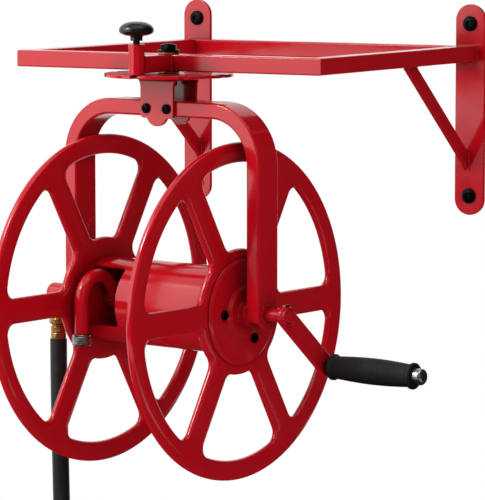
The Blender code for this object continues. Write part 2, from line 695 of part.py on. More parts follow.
# Yoke, one rectangular tube bent to a U with rounded leg ends
SHAFT_R = PIPE_R - PIPE_WALL - RUN_GAP
LEG_IN = YOKE_HALF_WIDTH - YOKE_THICK
LEG_MID = YOKE_HALF_WIDTH - YOKE_THICK / 2
BEND = YOKE_BEND_R - YOKE_THICK / 2
AXLE_BUSH_R = PIPE_R + HOLE_GAP + AXLE_BUSH_WALL
side_way = Vector((0, 1, 0))
frames = []
low_end = -(AXLE_DROP + YOKE_DEEP / 2)
frames.append((Vector((-LEG_MID, 0, low_end)), Vector((-1, 0, 0)), side_way))
for side in (-1, 1):
    for i in range(8):
        angle = math.radians(180 - 90 * i / 7) if side < 0 else math.radians(90 - 90 * i / 7)
        out = Vector((math.cos(angle), 0, math.sin(angle)))
        centre = Vector((side * (LEG_MID - BEND), 0, YOKE_MID - BEND))
        frames.append((centre + BEND * out, out, side_way))
frames.append((Vector((LEG_MID, 0, low_end)), Vector((1, 0, 0)), side_way))
bm = bmesh.new()
inside = (YOKE_THICK - 2 * YOKE_WALL, YOKE_DEEP - 2 * YOKE_WALL, YOKE_CORNER - YOKE_WALL * 0.8, 1)
add_swept(bm, frames, rounded_box(YOKE_THICK, YOKE_DEEP, YOKE_CORNER, 1), rounded_box(*inside))
yoke = place("yoke", mesh_of("yoke", bm), RED, swivel)
tip = YOKE_DEEP / 2
outline = [(-tip - 0.01, -AXLE_DROP)]
for i in range(13):
    angle = math.pi * i / 12
    outline.append((-tip * math.cos(angle), -AXLE_DROP - tip * math.sin(angle)))
outline += [(tip + 0.01, -AXLE_DROP), (tip + 0.01, low_end - 0.01), (-tip - 0.01, low_end - 0.01)]
ends = bmesh.new()
add_prism(ends, outline, -YOKE_HALF_WIDTH - 0.01, YOKE_HALF_WIDTH + 0.01, YZ_PLANE)
shape_with(yoke, "round_ends", ends, "DIFFERENCE")
holes = bmesh.new()
for x in bolt_places():
    at = Matrix.Translation((x, 0.0, BOLT_Z)) @ ALONG_Y
    add_rod(holes, SADDLE_BOLT_R + HOLE_GAP, -YOKE_DEEP, YOKE_DEEP, 10, at)
at = Matrix.Translation((0.0, 0.0, -AXLE_DROP)) @ ALONG_X
add_rod(holes, AXLE_BUSH_R + SEAT_GAP, -YOKE_HALF_WIDTH - 0.01, YOKE_HALF_WIDTH + 0.01, 20, at)
shape_with(yoke, "holes", holes, "DIFFERENCE")


def axle_bush(name, side, bore):
    """Flanged bush through both walls of a leg, its flange inside."""
    face = LEG_IN - SEAT_GAP
    wide = YOKE_DEEP / 2 - 0.0025
    end = YOKE_HALF_WIDTH + SEAT_GAP
    profile = [(bore, face - AXLE_BUSH_FLANGE), (wide, face - AXLE_BUSH_FLANGE), (wide, face)]
    profile += [(AXLE_BUSH_R, face), (AXLE_BUSH_R, end), (bore, end)]
    place(name, turned(name, profile, 20), BRONZE, axle, (0.0, 0.0, 0.0), (0.0, side * math.pi / 2, 0.0))


axle_bush("left_axle_bush", -1, PIPE_R + HOLE_GAP)
axle_bush("right_axle_bush", 1, SHAFT_R + HOLE_GAP)

# Flanges: turned, with six flared windows between the spokes
OUTER_X = LEG_IN - FLANGE_CLEAR
INNER_X = OUTER_X - FLANGE_THICK
COLLAR_X = LEG_IN - SEAT_GAP - AXLE_BUSH_FLANGE - RUN_GAP
FLANGE_BORE = PIPE_R + HOLE_GAP
WINDOW_OUT_R = FLANGE_R - RIM_WIDTH
SPIGOT_X = INNER_X - DRUM_END - 0.0005


def window_loop(grow):
    """Rounded outline between two spokes; grow moves every side outward."""
    half = SPOKE_WIDTH / 2
    part = math.pi / SPOKE_COUNT
    corners = []
    for reach, outward in ((WINDOW_OUT_R - WINDOW_CORNER_R, True), (HUB_R + WINDOW_CORNER_R, False)):
        angle = part - math.asin((half + WINDOW_CORNER_R) / reach)
        corners.append((reach, angle, outward))
    radius = WINDOW_CORNER_R + grow
    (far, far_turn, _), (near, near_turn, _) = corners
    points = []

    def corner(reach, turn, first, last, steps):
        for i in range(steps + 1):
            angle = first + (last - first) * i / steps
            u = reach * math.cos(turn) + radius * math.cos(angle)
            v = reach * math.sin(turn) + radius * math.sin(angle)
            points.append((u, v))

    side_normal = part + math.pi / 2
    corner(far, far_turn, far_turn, side_normal, 2)
    corner(near, near_turn, side_normal, near_turn + math.pi, 3)
    points.append((HUB_R - grow, 0.0))
    corner(near, -near_turn, math.pi - near_turn, 2 * math.pi - side_normal, 3)
    corner(far, -far_turn, -side_normal, -far_turn, 2)
    for i in range(1, 5):
        turn = -far_turn + 2 * far_turn * i / 5
        points.append(((WINDOW_OUT_R + grow) * math.cos(turn), (WINDOW_OUT_R + grow) * math.sin(turn)))
    return points


def flange(name, side):
    """Outward is local +Z; the axle is the local Z axis."""
    low, high = INNER_X, OUTER_X
    edge = FLANGE_EDGE
    slant = 0.008
    profile = [(FLANGE_BORE, SPIGOT_X), (SPIGOT_R, SPIGOT_X), (SPIGOT_R, low), (FLANGE_R - slant, low)]
    profile += [(FLANGE_R, low + edge), (FLANGE_R, high - edge), (FLANGE_R - slant, high)]
    profile += [(HUB_RAISED_R + 0.004, high), (HUB_RAISED_R - 0.002, high + HUB_RAISE)]
    foot = HUB_BOLT_RADIUS - HUB_BOLT_HEAD_R - BOSS_TO_BOLT
    profile += [(foot, high + HUB_RAISE), (foot - BOSS_SLOPE, high + HUB_RAISE + BOSS_H)]
    collar = FLANGE_BORE + COLLAR_WALL
    profile += [(collar, high + HUB_RAISE + BOSS_H), (collar, COLLAR_X), (FLANGE_BORE, COLLAR_X)]
    data = turned(name, profile, SEGMENTS)
    made = place(name, data, RED, axle, (0.0, 0.0, 0.0), (0.0, side * math.pi / 2, 0.0))
    tool = bmesh.new()
    rise = (FLANGE_THICK - SPOKE_EDGE) / 2
    over = 0.001
    levels = [(low - over, WINDOW_FLARE * (1 + over / rise)), (low + rise, 0.0)]
    levels += [(high - rise, 0.0), (high + over, WINDOW_FLARE * (1 + over / rise))]
    for k in range(SPOKE_COUNT):
        turn = Matrix.Rotation(math.pi * (2 * k + 1) / SPOKE_COUNT + math.pi / 2, 4, "Z")
        rings = []
        for height, grow in levels:
            rings.append([tool.verts.new(turn @ Vector((u, v, height))) for u, v in window_loop(grow)])
        for first, second in zip(rings, rings[1:]):
            bridge(tool, first, second)
        tool.faces.new(rings[0])
        tool.faces.new(rings[-1])
    shape_with(made, "windows", tool, "DIFFERENCE")
    holes = bmesh.new()
    for y, x in hub_bolt_places(side):
        at = Matrix.Translation((x, y, 0.0))
        add_rod(holes, HUB_BOLT_R + HOLE_GAP, low - 0.005, high + 0.02, 8, at)
    shape_with(made, "bolt_holes", holes, "DIFFERENCE")
    return made


def hub_bolt_places(side):
    """(local y, local x) of the bolts in a flange's own frame."""
    spots = []
    for degrees in (60, 180, 300):
        angle = math.radians(degrees)
        y = HUB_BOLT_RADIUS * math.cos(angle)
        z = HUB_BOLT_RADIUS * math.sin(angle)
        spots.append((y, -side * z))
    return spots


flange("left_flange", -1)
flange("right_flange", 1)

# Hub bolts, screwed through each flange into the drum's ends
for side, label in ((-1, "left"), (1, "right")):
    for k, (y, x) in enumerate(hub_bolt_places(side), 1):
        name = "%s_hub_bolt_%d" % (label, k)
        face = OUTER_X + HUB_RAISE + SEAT_GAP
        end = INNER_X - DRUM_END - 0.002
        profile = [(0.0, end), (HUB_BOLT_R, end), (HUB_BOLT_R, face)] + dome(HUB_BOLT_HEAD_R, 0.0035, face)
        rod = place(name, turned(name, profile, 10), DARK, axle)
        turn = Matrix.Rotation(side * math.pi / 2, 4, "Y")
        rod.matrix_local = turn @ Matrix.Translation((x, y, 0.0))

# Drum: a shell with inward end plates and a window for the gooseneck
END_X = INNER_X - SEAT_GAP
PLATE_HOLE_R = SPIGOT_R + SEAT_GAP
inner_r = DRUM_R - DRUM_WALL
profile = [(PLATE_HOLE_R, -END_X), (DRUM_R, -END_X), (DRUM_R, END_X), (PLATE_HOLE_R, END_X)]
profile += [(PLATE_HOLE_R, END_X - DRUM_END), (inner_r, END_X - DRUM_END)]
profile += [(inner_r, -END_X + DRUM_END), (PLATE_HOLE_R, -END_X + DRUM_END)]
bm = bmesh.new()
add_turned(bm, profile, 40, ALONG_X)
drum = place("drum", mesh_of("drum", bm), RED, axle)
window_low = -END_X + DRUM_END
window_high = window_low + DRUM_WINDOW_LENGTH
round_r = 0.008
mid_turn = math.radians((DRUM_WINDOW_TOP + DRUM_WINDOW_LOW) / 2)
half_turn = math.radians((DRUM_WINDOW_TOP - DRUM_WINDOW_LOW) / 2)
span = []
for i in range(13):
    span.append(-half_turn + 2 * half_turn * i / 12)
tool = bmesh.new()
shell = []
for reach in (inner_r - 0.006, DRUM_R + 0.004):
    loop = []
    for turn in span:
        y, z = -reach * math.cos(mid_turn + turn), reach * math.sin(mid_turn + turn)
        loop.append(tool.verts.new((window_low + 0.00002, y, z)))
    for turn in reversed(span):
        left = round_r - (half_turn - abs(turn)) * DRUM_R
        short = round_r - math.sqrt(max(0.0, round_r**2 - left**2)) if left > 0 else 0.0
        y, z = -reach * math.cos(mid_turn + turn), reach * math.sin(mid_turn + turn)
        loop.append(tool.verts.new((window_high - short, y, z)))
    shell.append(loop)
bridge(tool, shell[0], shell[1])
count = len(span)
for loop in shell:
    for i in range(count - 1):
        tool.faces.new((loop[i], loop[i + 1], loop[2 * count - 2 - i], loop[2 * count - 1 - i]))
shape_with(drum, "window", tool, "DIFFERENCE")
holes = bmesh.new()
for side in (-1, 1):
    turn = Matrix.Rotation(side * math.pi / 2, 4, "Y")
    for y, x in hub_bolt_places(side):
        at = turn @ Matrix.Translation((x, y, 0.0))
        add_rod(holes, HUB_BOLT_R + HOLE_GAP, END_X - DRUM_END - 0.001, END_X + 0.001, 8, at)
shape_with(drum, "bolt_holes", holes, "DIFFERENCE")

# Axle pipe, hollow from the inlet to past the gooseneck, and the crank shaft
PIPE_LEFT = -(YOKE_HALF_WIDTH + 2 * SEAT_GAP + ELBOW_CUP - RUN_GAP)
pipe_bore = PIPE_R - PIPE_WALL
pipe = [(pipe_bore, PIPE_LEFT), (PIPE_R, PIPE_LEFT), (PIPE_R, COLLAR_X), (pipe_bore, COLLAR_X)]
bm = bmesh.new()
add_turned(bm, pipe, 20, ALONG_X)
axle_pipe = place("axle_pipe", mesh_of("axle_pipe", bm), RED, axle)
GOOSE_X = -INNER_X + GOOSENECK_INSET
port = bmesh.new()
at = Matrix.Translation((GOOSE_X, -GOOSENECK_OFFSET, 0.0))
add_rod(port, GOOSENECK_R - GOOSENECK_WALL, 0.0, 2 * PIPE_R, 10, at)
shape_with(axle_pipe, "port", port, "DIFFERENCE")
HUB_END = ARM_X + CRANK_HUB_H
shaft = [(0.0, INNER_X - 0.03), (SHAFT_R, INNER_X - 0.03), (SHAFT_R, HUB_END - 0.0015)]
shaft += [(SHAFT_R - 0.001, HUB_END - 0.0005), (0.0, HUB_END - 0.0005)]
bm = bmesh.new()
add_turned(bm, shaft, 16, ALONG_X)
place("crank_shaft", mesh_of("crank_shaft", bm), RED, axle)

# Gooseneck: rises from the pipe, turns over and points down
X_WAY = Vector((1, 0, 0))
turn_y = -GOOSENECK_OFFSET - GOOSENECK_BEND_R
turn_z = GOOSENECK_RISE
frames = [(Vector((GOOSE_X, -GOOSENECK_OFFSET, 0.0)), X_WAY, Vector((0, 1, 0)))]
for i in range(11):
    angle = math.pi * i / 10
    out = Vector((0.0, math.cos(angle), math.sin(angle)))
    frames.append((Vector((GOOSE_X, turn_y, turn_z)) + GOOSENECK_BEND_R * out, X_WAY, out))
outlet_y = turn_y - GOOSENECK_BEND_R
frames.append((Vector((GOOSE_X, outlet_y, -GOOSENECK_LEG)), X_WAY, Vector((0, -1, 0))))
bm = bmesh.new()
goose_bore = GOOSENECK_R - GOOSENECK_WALL
add_swept(bm, frames, circle(GOOSENECK_R, 12), circle(goose_bore, 12))
gooseneck = place("gooseneck", mesh_of("gooseneck", bm), RED, axle)
cope = bmesh.new()
at = Matrix.Translation((GOOSE_X, 0.0, 0.0)) @ ALONG_X
add_rod(cope, PIPE_R + SEAT_GAP, -0.02, 0.02, 20, at)
shape_with(gooseneck, "cope", cope, "DIFFERENCE")
nipple_top = -GOOSENECK_LEG - SEAT_GAP
nipple = [(goose_bore, nipple_top - NIPPLE_H), (NIPPLE_R - 0.0012, nipple_top - NIPPLE_H)]
nipple += [(NIPPLE_R, nipple_top - NIPPLE_H + 0.0012), (NIPPLE_R, nipple_top - 0.001)]
nipple += [(NIPPLE_R - 0.001, nipple_top), (goose_bore, nipple_top)]
place("outlet_nipple", turned("outlet_nipple", nipple, 18), STEEL, axle, (GOOSE_X, outlet_y, 0.0))

# Crank arm with its hub, set screw and grip spindle
bm = bmesh.new()
outline = slot_outline((0.0, 0.0), (PIN_Y, PIN_Z), CRANK_END_R, 9)
add_prism(bm, outline, ARM_X, ARM_X + CRANK_THICK, YZ_PLANE)
crank = place("crank_arm", mesh_of("crank_arm", bm), RED, axle)
soften(crank, 0.0008)
hub = bmesh.new()
add_rod(hub, CRANK_END_R - 0.0013, ARM_X + 0.001, HUB_END, 20, ALONG_X)
shape_with(crank, "hub", hub, "UNION")
holes = bmesh.new()
add_rod(holes, SHAFT_R + HOLE_GAP, ARM_X - 0.005, HUB_END + 0.005, 16, ALONG_X)
at = Matrix.Translation((0.0, PIN_Y, PIN_Z)) @ ALONG_X
add_rod(holes, SPINDLE_R + HOLE_GAP, ARM_X - 0.005, ARM_X + CRANK_THICK + 0.005, 12, at)
shape_with(crank, "holes", holes, "DIFFERENCE")
screw_hole = bmesh.new()
SCREW_X = ARM_X + CRANK_HUB_H - SET_SCREW_R - HOLE_GAP - 0.0008
at = Matrix.Translation((SCREW_X, 0.0, 0.0))
add_rod(screw_hole, SET_SCREW_R + HOLE_GAP, 0.004, CRANK_END_R + 0.006, 8, at)
shape_with(crank, "screw_hole", screw_hole, "DIFFERENCE")
set_top = CRANK_END_R + 0.0012
set_low = SHAFT_R + SEAT_GAP
set_screw = [(0.0, set_low), (SET_SCREW_R, set_low), (SET_SCREW_R, set_top), (0.0, set_top)]
place("set_screw", turned("set_screw", set_screw, 8), DARK, axle, (SCREW_X, 0.0, 0.0))
SPACER_LOW = CRANK_THICK + SEAT_GAP
GRIP_LOW = SPACER_LOW + SPACER_H + RUN_GAP
GRIP_HIGH = GRIP_LOW + GRIP_LENGTH
HEAD_LOW = GRIP_HIGH + RUN_GAP
spindle = [(0.0, -0.0028), (0.0045, -0.0028), (0.0068, -0.0012), (0.0068, -SEAT_GAP), (SPINDLE_R, -SEAT_GAP)]
spindle += [(SPINDLE_R, HEAD_LOW), (SPINDLE_HEAD_R, HEAD_LOW)]
spindle += [(SPINDLE_HEAD_R, HEAD_LOW + 0.6 * SPINDLE_HEAD_H)]
spindle += [(0.86 * SPINDLE_HEAD_R, HEAD_LOW + 0.86 * SPINDLE_HEAD_H)]
spindle += [(0.5 * SPINDLE_HEAD_R, HEAD_LOW + SPINDLE_HEAD_H)]
spindle += [(0.0, HEAD_LOW + SPINDLE_HEAD_H)]
place("grip_spindle", turned("grip_spindle", spindle, 14), STEEL, grip_axis, (0.0, 0.0, 0.0), TURN_X)
spacer_bore = SPINDLE_R + HOLE_GAP
spacer = [(spacer_bore, SPACER_LOW), (0.0085, SPACER_LOW), (0.0085, SPACER_LOW + SPACER_H)]
spacer += [(spacer_bore, SPACER_LOW + SPACER_H)]
place("grip_spacer", turned("grip_spacer", spacer, 14), DARK, grip_axis, (0.0, 0.0, 0.0), TURN_X)
grip = [(spacer_bore, GRIP_LOW), (GRIP_COLLAR_R - 0.001, GRIP_LOW), (GRIP_COLLAR_R, GRIP_LOW + 0.001)]
grip += [(GRIP_COLLAR_R, GRIP_LOW + GRIP_COLLAR_H - 0.001), (GRIP_END_R, GRIP_LOW + GRIP_COLLAR_H + 0.001)]
body_low = GRIP_LOW + GRIP_COLLAR_H + 0.001
body_long = GRIP_LENGTH - 2 * (GRIP_COLLAR_H + 0.001)
for i in range(1, 6):
    swell = math.sin(math.pi * i / 6)
    grip.append((GRIP_END_R + (GRIP_BELLY_R - GRIP_END_R) * swell, body_low + body_long * i / 6))
grip += [(GRIP_END_R, GRIP_HIGH - GRIP_COLLAR_H - 0.001), (GRIP_COLLAR_R, GRIP_HIGH - GRIP_COLLAR_H + 0.001)]
grip += [(GRIP_COLLAR_R, GRIP_HIGH - 0.001), (GRIP_COLLAR_R - 0.001, GRIP_HIGH), (spacer_bore, GRIP_HIGH)]
place("grip", turned("grip", grip, 20), BLACK, grip_axis, (0.0, 0.0, 0.0), TURN_X)

# Inlet elbow: a cup on the pipe's end and a boss that points down
INLET_X = -(YOKE_HALF_WIDTH + INLET_OUT)
cup_start = -(YOKE_HALF_WIDTH + 2 * SEAT_GAP)
cup_floor = cup_start - ELBOW_CUP
bore = PIPE_R + HOLE_GAP
boss_low = -ELBOW_R - 0.0004
elbow = [(bore, -cup_start), (ELBOW_COLLAR_R, -cup_start), (ELBOW_COLLAR_R, -cup_floor + 0.002)]
elbow += [(ELBOW_R, -cup_floor + 0.004), (ELBOW_R, -INLET_X + 0.5 * ELBOW_R)]
elbow += [(0.8 * ELBOW_R, -INLET_X + 0.85 * ELBOW_R)]
elbow += [(0.45 * ELBOW_R, -INLET_X + ELBOW_R), (0.0, -INLET_X + ELBOW_R)]
elbow += [(0.0, -cup_floor), (bore, -cup_floor)]
bm = bmesh.new()
add_turned(bm, elbow, 20, Matrix.Rotation(-math.pi / 2, 4, "Y"))
inlet = place("inlet_elbow", mesh_of("inlet_elbow", bm), RED, swivel, (0.0, 0.0, -AXLE_DROP))
boss = bmesh.new()
add_rod(boss, 0.8 * ELBOW_R, boss_low, 0.0, 16, Matrix.Translation((INLET_X, 0.0, 0.0)))
shape_with(inlet, "boss", boss, "UNION")
way = bmesh.new()
add_rod(way, 0.4 * ELBOW_R, boss_low - 0.002, 0.002, 8, Matrix.Translation((INLET_X, 0.0, 0.0)))
shape_with(inlet, "waterway", way, "DIFFERENCE")

# Brass coupling between the elbow and the hose
top = boss_low - SEAT_GAP
c = COUPLING_R
coupling = [(0.0, top), (COUPLING_NECK_R, top), (COUPLING_NECK_R, top - 0.0075), (c, top - 0.0095)]
coupling += [(c, top - 0.014), (0.86 * c, top - 0.0152), (0.86 * c, top - 0.0172), (1.16 * c, top - 0.0184)]
coupling += [(1.16 * c, top - 0.0238), (0.86 * c, top - 0.025), (0.86 * c, top - 0.0268), (c, top - 0.028)]
coupling += [(c, top - 0.034), (0.93 * c, top - 0.0352), (c, top - 0.0364)]
coupling += [(c, top - COUPLING_H), (0.0, top - COUPLING_H)]
place("brass_coupling", turned("brass_coupling", coupling, 16), BRASS, swivel, (INLET_X, 0.0, -AXLE_DROP))

# Leader hose: a free stretch, then a round coil of two and a bit turns
HOSE_TOP = -AXLE_DROP + top - COUPLING_H - SEAT_GAP
HOSE_LOW = HOSE_TOP - HOSE_FREE
free_points = [(INLET_X, 0.0, HOSE_TOP), (INLET_X, 0.0, HOSE_TOP - 2 * HOSE_R)]
for i in range(1, 7):
    share = i / 7
    ease = share * share * (3 - 2 * share)
    height = HOSE_TOP - 2 * HOSE_R - (HOSE_FREE - 4 * HOSE_R) * share
    free_points.append((INLET_X + HOSE_DRIFT * ease, 0.0, height))
free_points += [(INLET_X + HOSE_DRIFT, 0.0, HOSE_LOW + 2 * HOSE_R), (INLET_X + HOSE_DRIFT, 0.0, HOSE_LOW)]
place("leader_hose", tube_curve("leader_hose", free_points, HOSE_R, 3), RUBBER, swivel)

COIL_X = INLET_X + HOSE_DRIFT + COIL_R
COIL_Z = HOSE_LOW - SEAT_GAP - 2 * HOSE_R - COIL_CLEAR
full = 2 * math.pi * COIL_TURNS


def coil_point(t):
    """Point of the coil at angle t from its start, at its leftmost side."""
    ease = max(0.0, min(1.0, (t - full + 1.9) / 1.9))
    tuck = ease * ease * (3 - 2 * ease)
    radius = COIL_R - COIL_TUCK * tuck
    lead = t * t if t < 0.5 else t - 0.25
    y = COIL_PITCH * lead / (2 * math.pi)
    y += (FAR_COUPLING_R - HOSE_R + 0.001) * tuck
    return Vector((COIL_X + radius * math.cos(math.pi + t), y, COIL_Z + radius * math.sin(math.pi + t)))


steps = round(24 * COIL_TURNS)
coil_points = [Vector((COIL_X - COIL_R, 0.0, HOSE_LOW - SEAT_GAP))]
coil_points += [coil_point(full * i / steps) for i in range(steps + 1)]
heading = (coil_point(full) - coil_point(full - 0.02)).normalized()
coil_points.append(coil_points[-1] + heading * 2.2 * HOSE_R)
place("hose_coil", tube_curve("hose_coil", coil_points, HOSE_R, 1), RUBBER, swivel)


def least_gap(points, radius):
    """Least gap between parts of a tube more than a quarter turn apart."""
    fine = []
    for a, b in zip(points, points[1:]):
        for i in range(6):
            fine.append(a.lerp(b, i / 6))
    least = 1.0
    for i, a in enumerate(fine):
        for b in fine[i + 36 :]:
            least = min(least, (a - b).length)
    return least - 2 * radius


length = sum((b - a).length for a, b in zip(coil_points, coil_points[1:]))
print("coil length %.3f m, least gap %.2f mm" % (length, 1000 * least_gap(coil_points, HOSE_R)))
print("leader hose length %.3f m" % (length + HOSE_FREE))

# Far coupling on the hose's end, and the tie round two turns
far = [(0.0, SEAT_GAP), (HOSE_R, SEAT_GAP), (HOSE_R, 0.010), (0.86 * FAR_COUPLING_R, 0.012)]
far += [(0.86 * FAR_COUPLING_R, 0.015), (FAR_COUPLING_R, 0.0165), (FAR_COUPLING_R, FAR_COUPLING_H - 0.001)]
far += [(FAR_COUPLING_R - 0.001, FAR_COUPLING_H), (0.78 * FAR_COUPLING_R, FAR_COUPLING_H)]
far += [(0.78 * FAR_COUPLING_R, FAR_COUPLING_H - 0.012), (0.0, FAR_COUPLING_H - 0.012)]
far_end = place("far_coupling", turned("far_coupling", far, 16), BRASS, swivel)
far_end.location = coil_points[-1]
far_end.rotation_euler = heading.to_track_quat("Z", "Y").to_euler()

tie_low = coil_point(math.pi)
tie_high = coil_point(3 * math.pi)
middle = (tie_low + tie_high) / 2
tie_wide = 2 * (HOSE_R + TIE_GAP)
tie_long = (tie_high - tie_low).length + tie_wide
around = rounded_box(tie_long + 2 * TIE_THICK, tie_wide + 2 * TIE_THICK, HOSE_R, 3)
within = rounded_box(tie_long, tie_wide, HOSE_R - TIE_THICK, 3)
run = (coil_point(math.pi + 0.02) - coil_point(math.pi - 0.02)).normalized()
u = (tie_high - tie_low).normalized()
v = run.cross(u).normalized()
frames = [(-run * TIE_WIDTH / 2, u, v), (run * TIE_WIDTH / 2, u, v)]
bm = bmesh.new()
add_swept(bm, frames, around, within)
place("coil_tie", mesh_of("coil_tie", bm), STRAP_CLOTH, swivel, middle)
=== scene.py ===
"""Finished pieces of a wall-mounted swivel hose reel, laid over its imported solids."""

import json
import math

import bmesh
import bpy
from mathutils import Matrix, Vector


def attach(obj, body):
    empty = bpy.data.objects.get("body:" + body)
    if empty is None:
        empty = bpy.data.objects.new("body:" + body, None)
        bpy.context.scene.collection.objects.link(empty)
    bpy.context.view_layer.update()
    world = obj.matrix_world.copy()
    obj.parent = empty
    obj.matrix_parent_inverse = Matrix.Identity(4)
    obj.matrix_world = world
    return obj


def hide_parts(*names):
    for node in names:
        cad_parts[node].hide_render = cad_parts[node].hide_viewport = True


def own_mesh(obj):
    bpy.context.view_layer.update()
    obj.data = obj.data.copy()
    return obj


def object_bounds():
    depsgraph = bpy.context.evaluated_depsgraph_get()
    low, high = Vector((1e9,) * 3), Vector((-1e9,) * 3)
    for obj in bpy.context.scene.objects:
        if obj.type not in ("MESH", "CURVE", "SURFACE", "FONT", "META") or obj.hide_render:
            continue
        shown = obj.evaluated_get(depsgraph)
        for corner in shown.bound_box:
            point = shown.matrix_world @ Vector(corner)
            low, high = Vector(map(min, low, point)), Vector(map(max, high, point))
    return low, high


bl_info = {
    "name": "Wall Hose Reel",
    "version": (1, 0, 0),
    "blender": (4, 5, 0),
    "location": "3D View > Sidebar > Hose Reel",
    "description": "Builds the enamelled bracket, yoke, reel, crank and leader hose of a wall reel",
    "category": "Add Mesh",
}

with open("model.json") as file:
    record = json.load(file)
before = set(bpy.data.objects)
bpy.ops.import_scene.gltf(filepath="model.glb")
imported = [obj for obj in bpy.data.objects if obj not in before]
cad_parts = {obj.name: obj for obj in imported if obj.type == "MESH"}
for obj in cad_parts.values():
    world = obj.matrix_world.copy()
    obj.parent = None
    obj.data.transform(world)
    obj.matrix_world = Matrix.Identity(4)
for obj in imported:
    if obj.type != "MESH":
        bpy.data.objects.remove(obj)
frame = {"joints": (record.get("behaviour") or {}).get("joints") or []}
CAD_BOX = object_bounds()

# Gaps that touching pieces keep, as in the solids
SEAT = 0.0003
RUN = 0.0005
HOLE = 0.0003

# Sizes in metres that the panel leaves out
SCREW_HOLE_R = 0.0035
PIVOT_HOLE_R = 0.0084
PIVOT_FLANGE = 0.0019  # thickness of a pivot bush's flange
PLUNGER_BUSH = 0.004  # height of the bush in the barrel's top
PLUNGER_COLLAR = 0.002  # height of the pin's collar
AXLE_FLANGE = 0.002  # thickness of an axle bush's flange
AXLE_WALL = 0.0026  # wall of an axle bush over the pipe
HUB_RAISE = 0.003  # height of a hub over the spokes
HUB_LAP = 0.008  # overlap of a hub and its web
RIM_EDGE = 0.0008  # swell of a casting's open edges
DRUM_PLUG_R = 0.0247
DRUM_END = 0.0035  # thickness of the drum's ends
GOOSE_ROOT = 0.004  # gooseneck's start in front of the axle
INLET_CUP = 0.011  # depth of the elbow's cup round the axle pipe
COUPLING_LONG = 0.043
SPINDLE_R = 0.005
WELD_INSET = 0.001  # a weld's end from the corner it runs to
CLEAR = 0.002  # how far a cutter passes the face it cuts
HUB_STEPS = 14  # steps of a cell's inner edge on each side, shared with the hub
TINY = 1e-7


def length(label, default, description):
    return bpy.props.FloatProperty(
        name=label, default=default, description=description, unit="LENGTH", precision=5
    )


def count(label, default, least, description):
    return bpy.props.IntProperty(name=label, default=default, min=least, description=description)


def linear(code):
    """Linear RGB of an sRGB hex colour."""
    made = []
    for k in (1, 3, 5):
        v = int(code[k : k + 2], 16) / 255
        made.append(v / 12.92 if v <= 0.04045 else ((v + 0.055) / 1.055) ** 2.4)
    return tuple(made)


def colour(label, code, description):
    return bpy.props.FloatVectorProperty(
        name=label, subtype="COLOR", size=3, min=0.0, max=1.0, default=linear(code), description=description
    )


class BracketSizes(bpy.types.PropertyGroup):
    spacing: length("Strap spacing", 0.4064, "Middle to middle of the two wall straps")
    strap_width: length("Strap width", 0.041, "Width of a wall strap")
    strap_thick: length("Strap thickness", 0.005, "Thickness of a wall strap")
    strap_above: length("Strap above", 0.052, "Height of a strap over the frame's top")
    strap_below: length("Strap below", 0.215, "Depth of a strap under the frame's top")
    screw_inset: length("Screw inset", 0.0245, "Screw middle from a strap's end")
    screw_head: length("Screw head", 0.0095, "Radius of a wall screw's head")
    tube: length("Frame tube", 0.020, "Side of the square frame tube")
    corner: length("Tube corner", 0.0018, "Outer corner radius of the frame tube")
    out: length("Pivot distance", 0.393, "Wall to the middle of the front tube")
    brace_width: length("Brace width", 0.0165, "Height of a brace across its length")
    brace_thick: length("Brace thickness", 0.0065, "Thickness of a brace")
    brace_out: length("Brace reach", 0.142, "Upper end of a brace from the strap")
    brace_drop: length("Brace drop", 0.1157, "Lower end of a brace under the side tube")
    brace_inset: length("Brace inset", 0.0035, "Brace middle inward of the strap's middle")
    weld: length("Weld size", 0.0016, "Radius of the beads in a weld")


class PivotSizes(bpy.types.PropertyGroup):
    disc_r: length("Index disc", 0.077, "Radius of the notched disc")
    disc_thick: length("Disc thickness", 0.004, "Thickness of the notched disc")
    notches: count("Notches", 8, 3, "Notches round the disc")
    plunger_out: length("Plunger reach", 0.070, "Plunger axis from the pivot axis")
    pin_r: length("Plunger pin", 0.004, "Radius of the plunger pin")
    barrel_r: length("Barrel", 0.0095, "Radius of the plunger barrel")
    bore: length("Barrel bore", 0.006, "Radius of the barrel's wide bore")
    spring: length("Spring", 0.0195, "Length of the plunger spring at rest")
    wire: length("Spring wire", 0.0005, "Radius of the spring's wire")
    curls: count("Spring curls", 5, 1, "Turns of the plunger spring")
    barrel_top: length("Barrel height", 0.014, "Barrel top over the frame's top")
    knob_r: length("Knob", 0.0205, "Radius of the plunger knob")
    knob_h: length("Knob height", 0.0165, "Height of the knob's cap")
    bolt_r: length("Pivot bolt", 0.006, "Radius of the pivot bolt")
    nut_flats: length("Pivot nut", 0.018, "Width across the nut's flats")
    saddle_width: length("Saddle width", 0.050, "Width of the bent saddle plate")
    saddle_plate: length("Saddle plate", 0.004, "Thickness of the saddle plate")
    saddle_side: length("Saddle side", 0.0485, "Height of the saddle's sides")


class YokeSizes(bpy.types.PropertyGroup):
    half: length("Yoke half width", 0.150, "Middle to the outer face of a leg")
    thick: length("Yoke thickness", 0.019, "Tube size along the axle")
    deep: length("Yoke depth", 0.038, "Tube size across the axle")
    wall: length("Yoke wall", 0.002, "Wall of the yoke tube")
    corner: length("Yoke corner", 0.003, "Outer corner radius of the yoke tube")
    bend: length("Yoke bend", 0.072, "Outer radius of the yoke's bends")
    drop: length("Axle drop", 0.300, "Axle under the frame's top")
    below: length("Yoke top", 0.0545, "Top of the yoke under the frame's top")


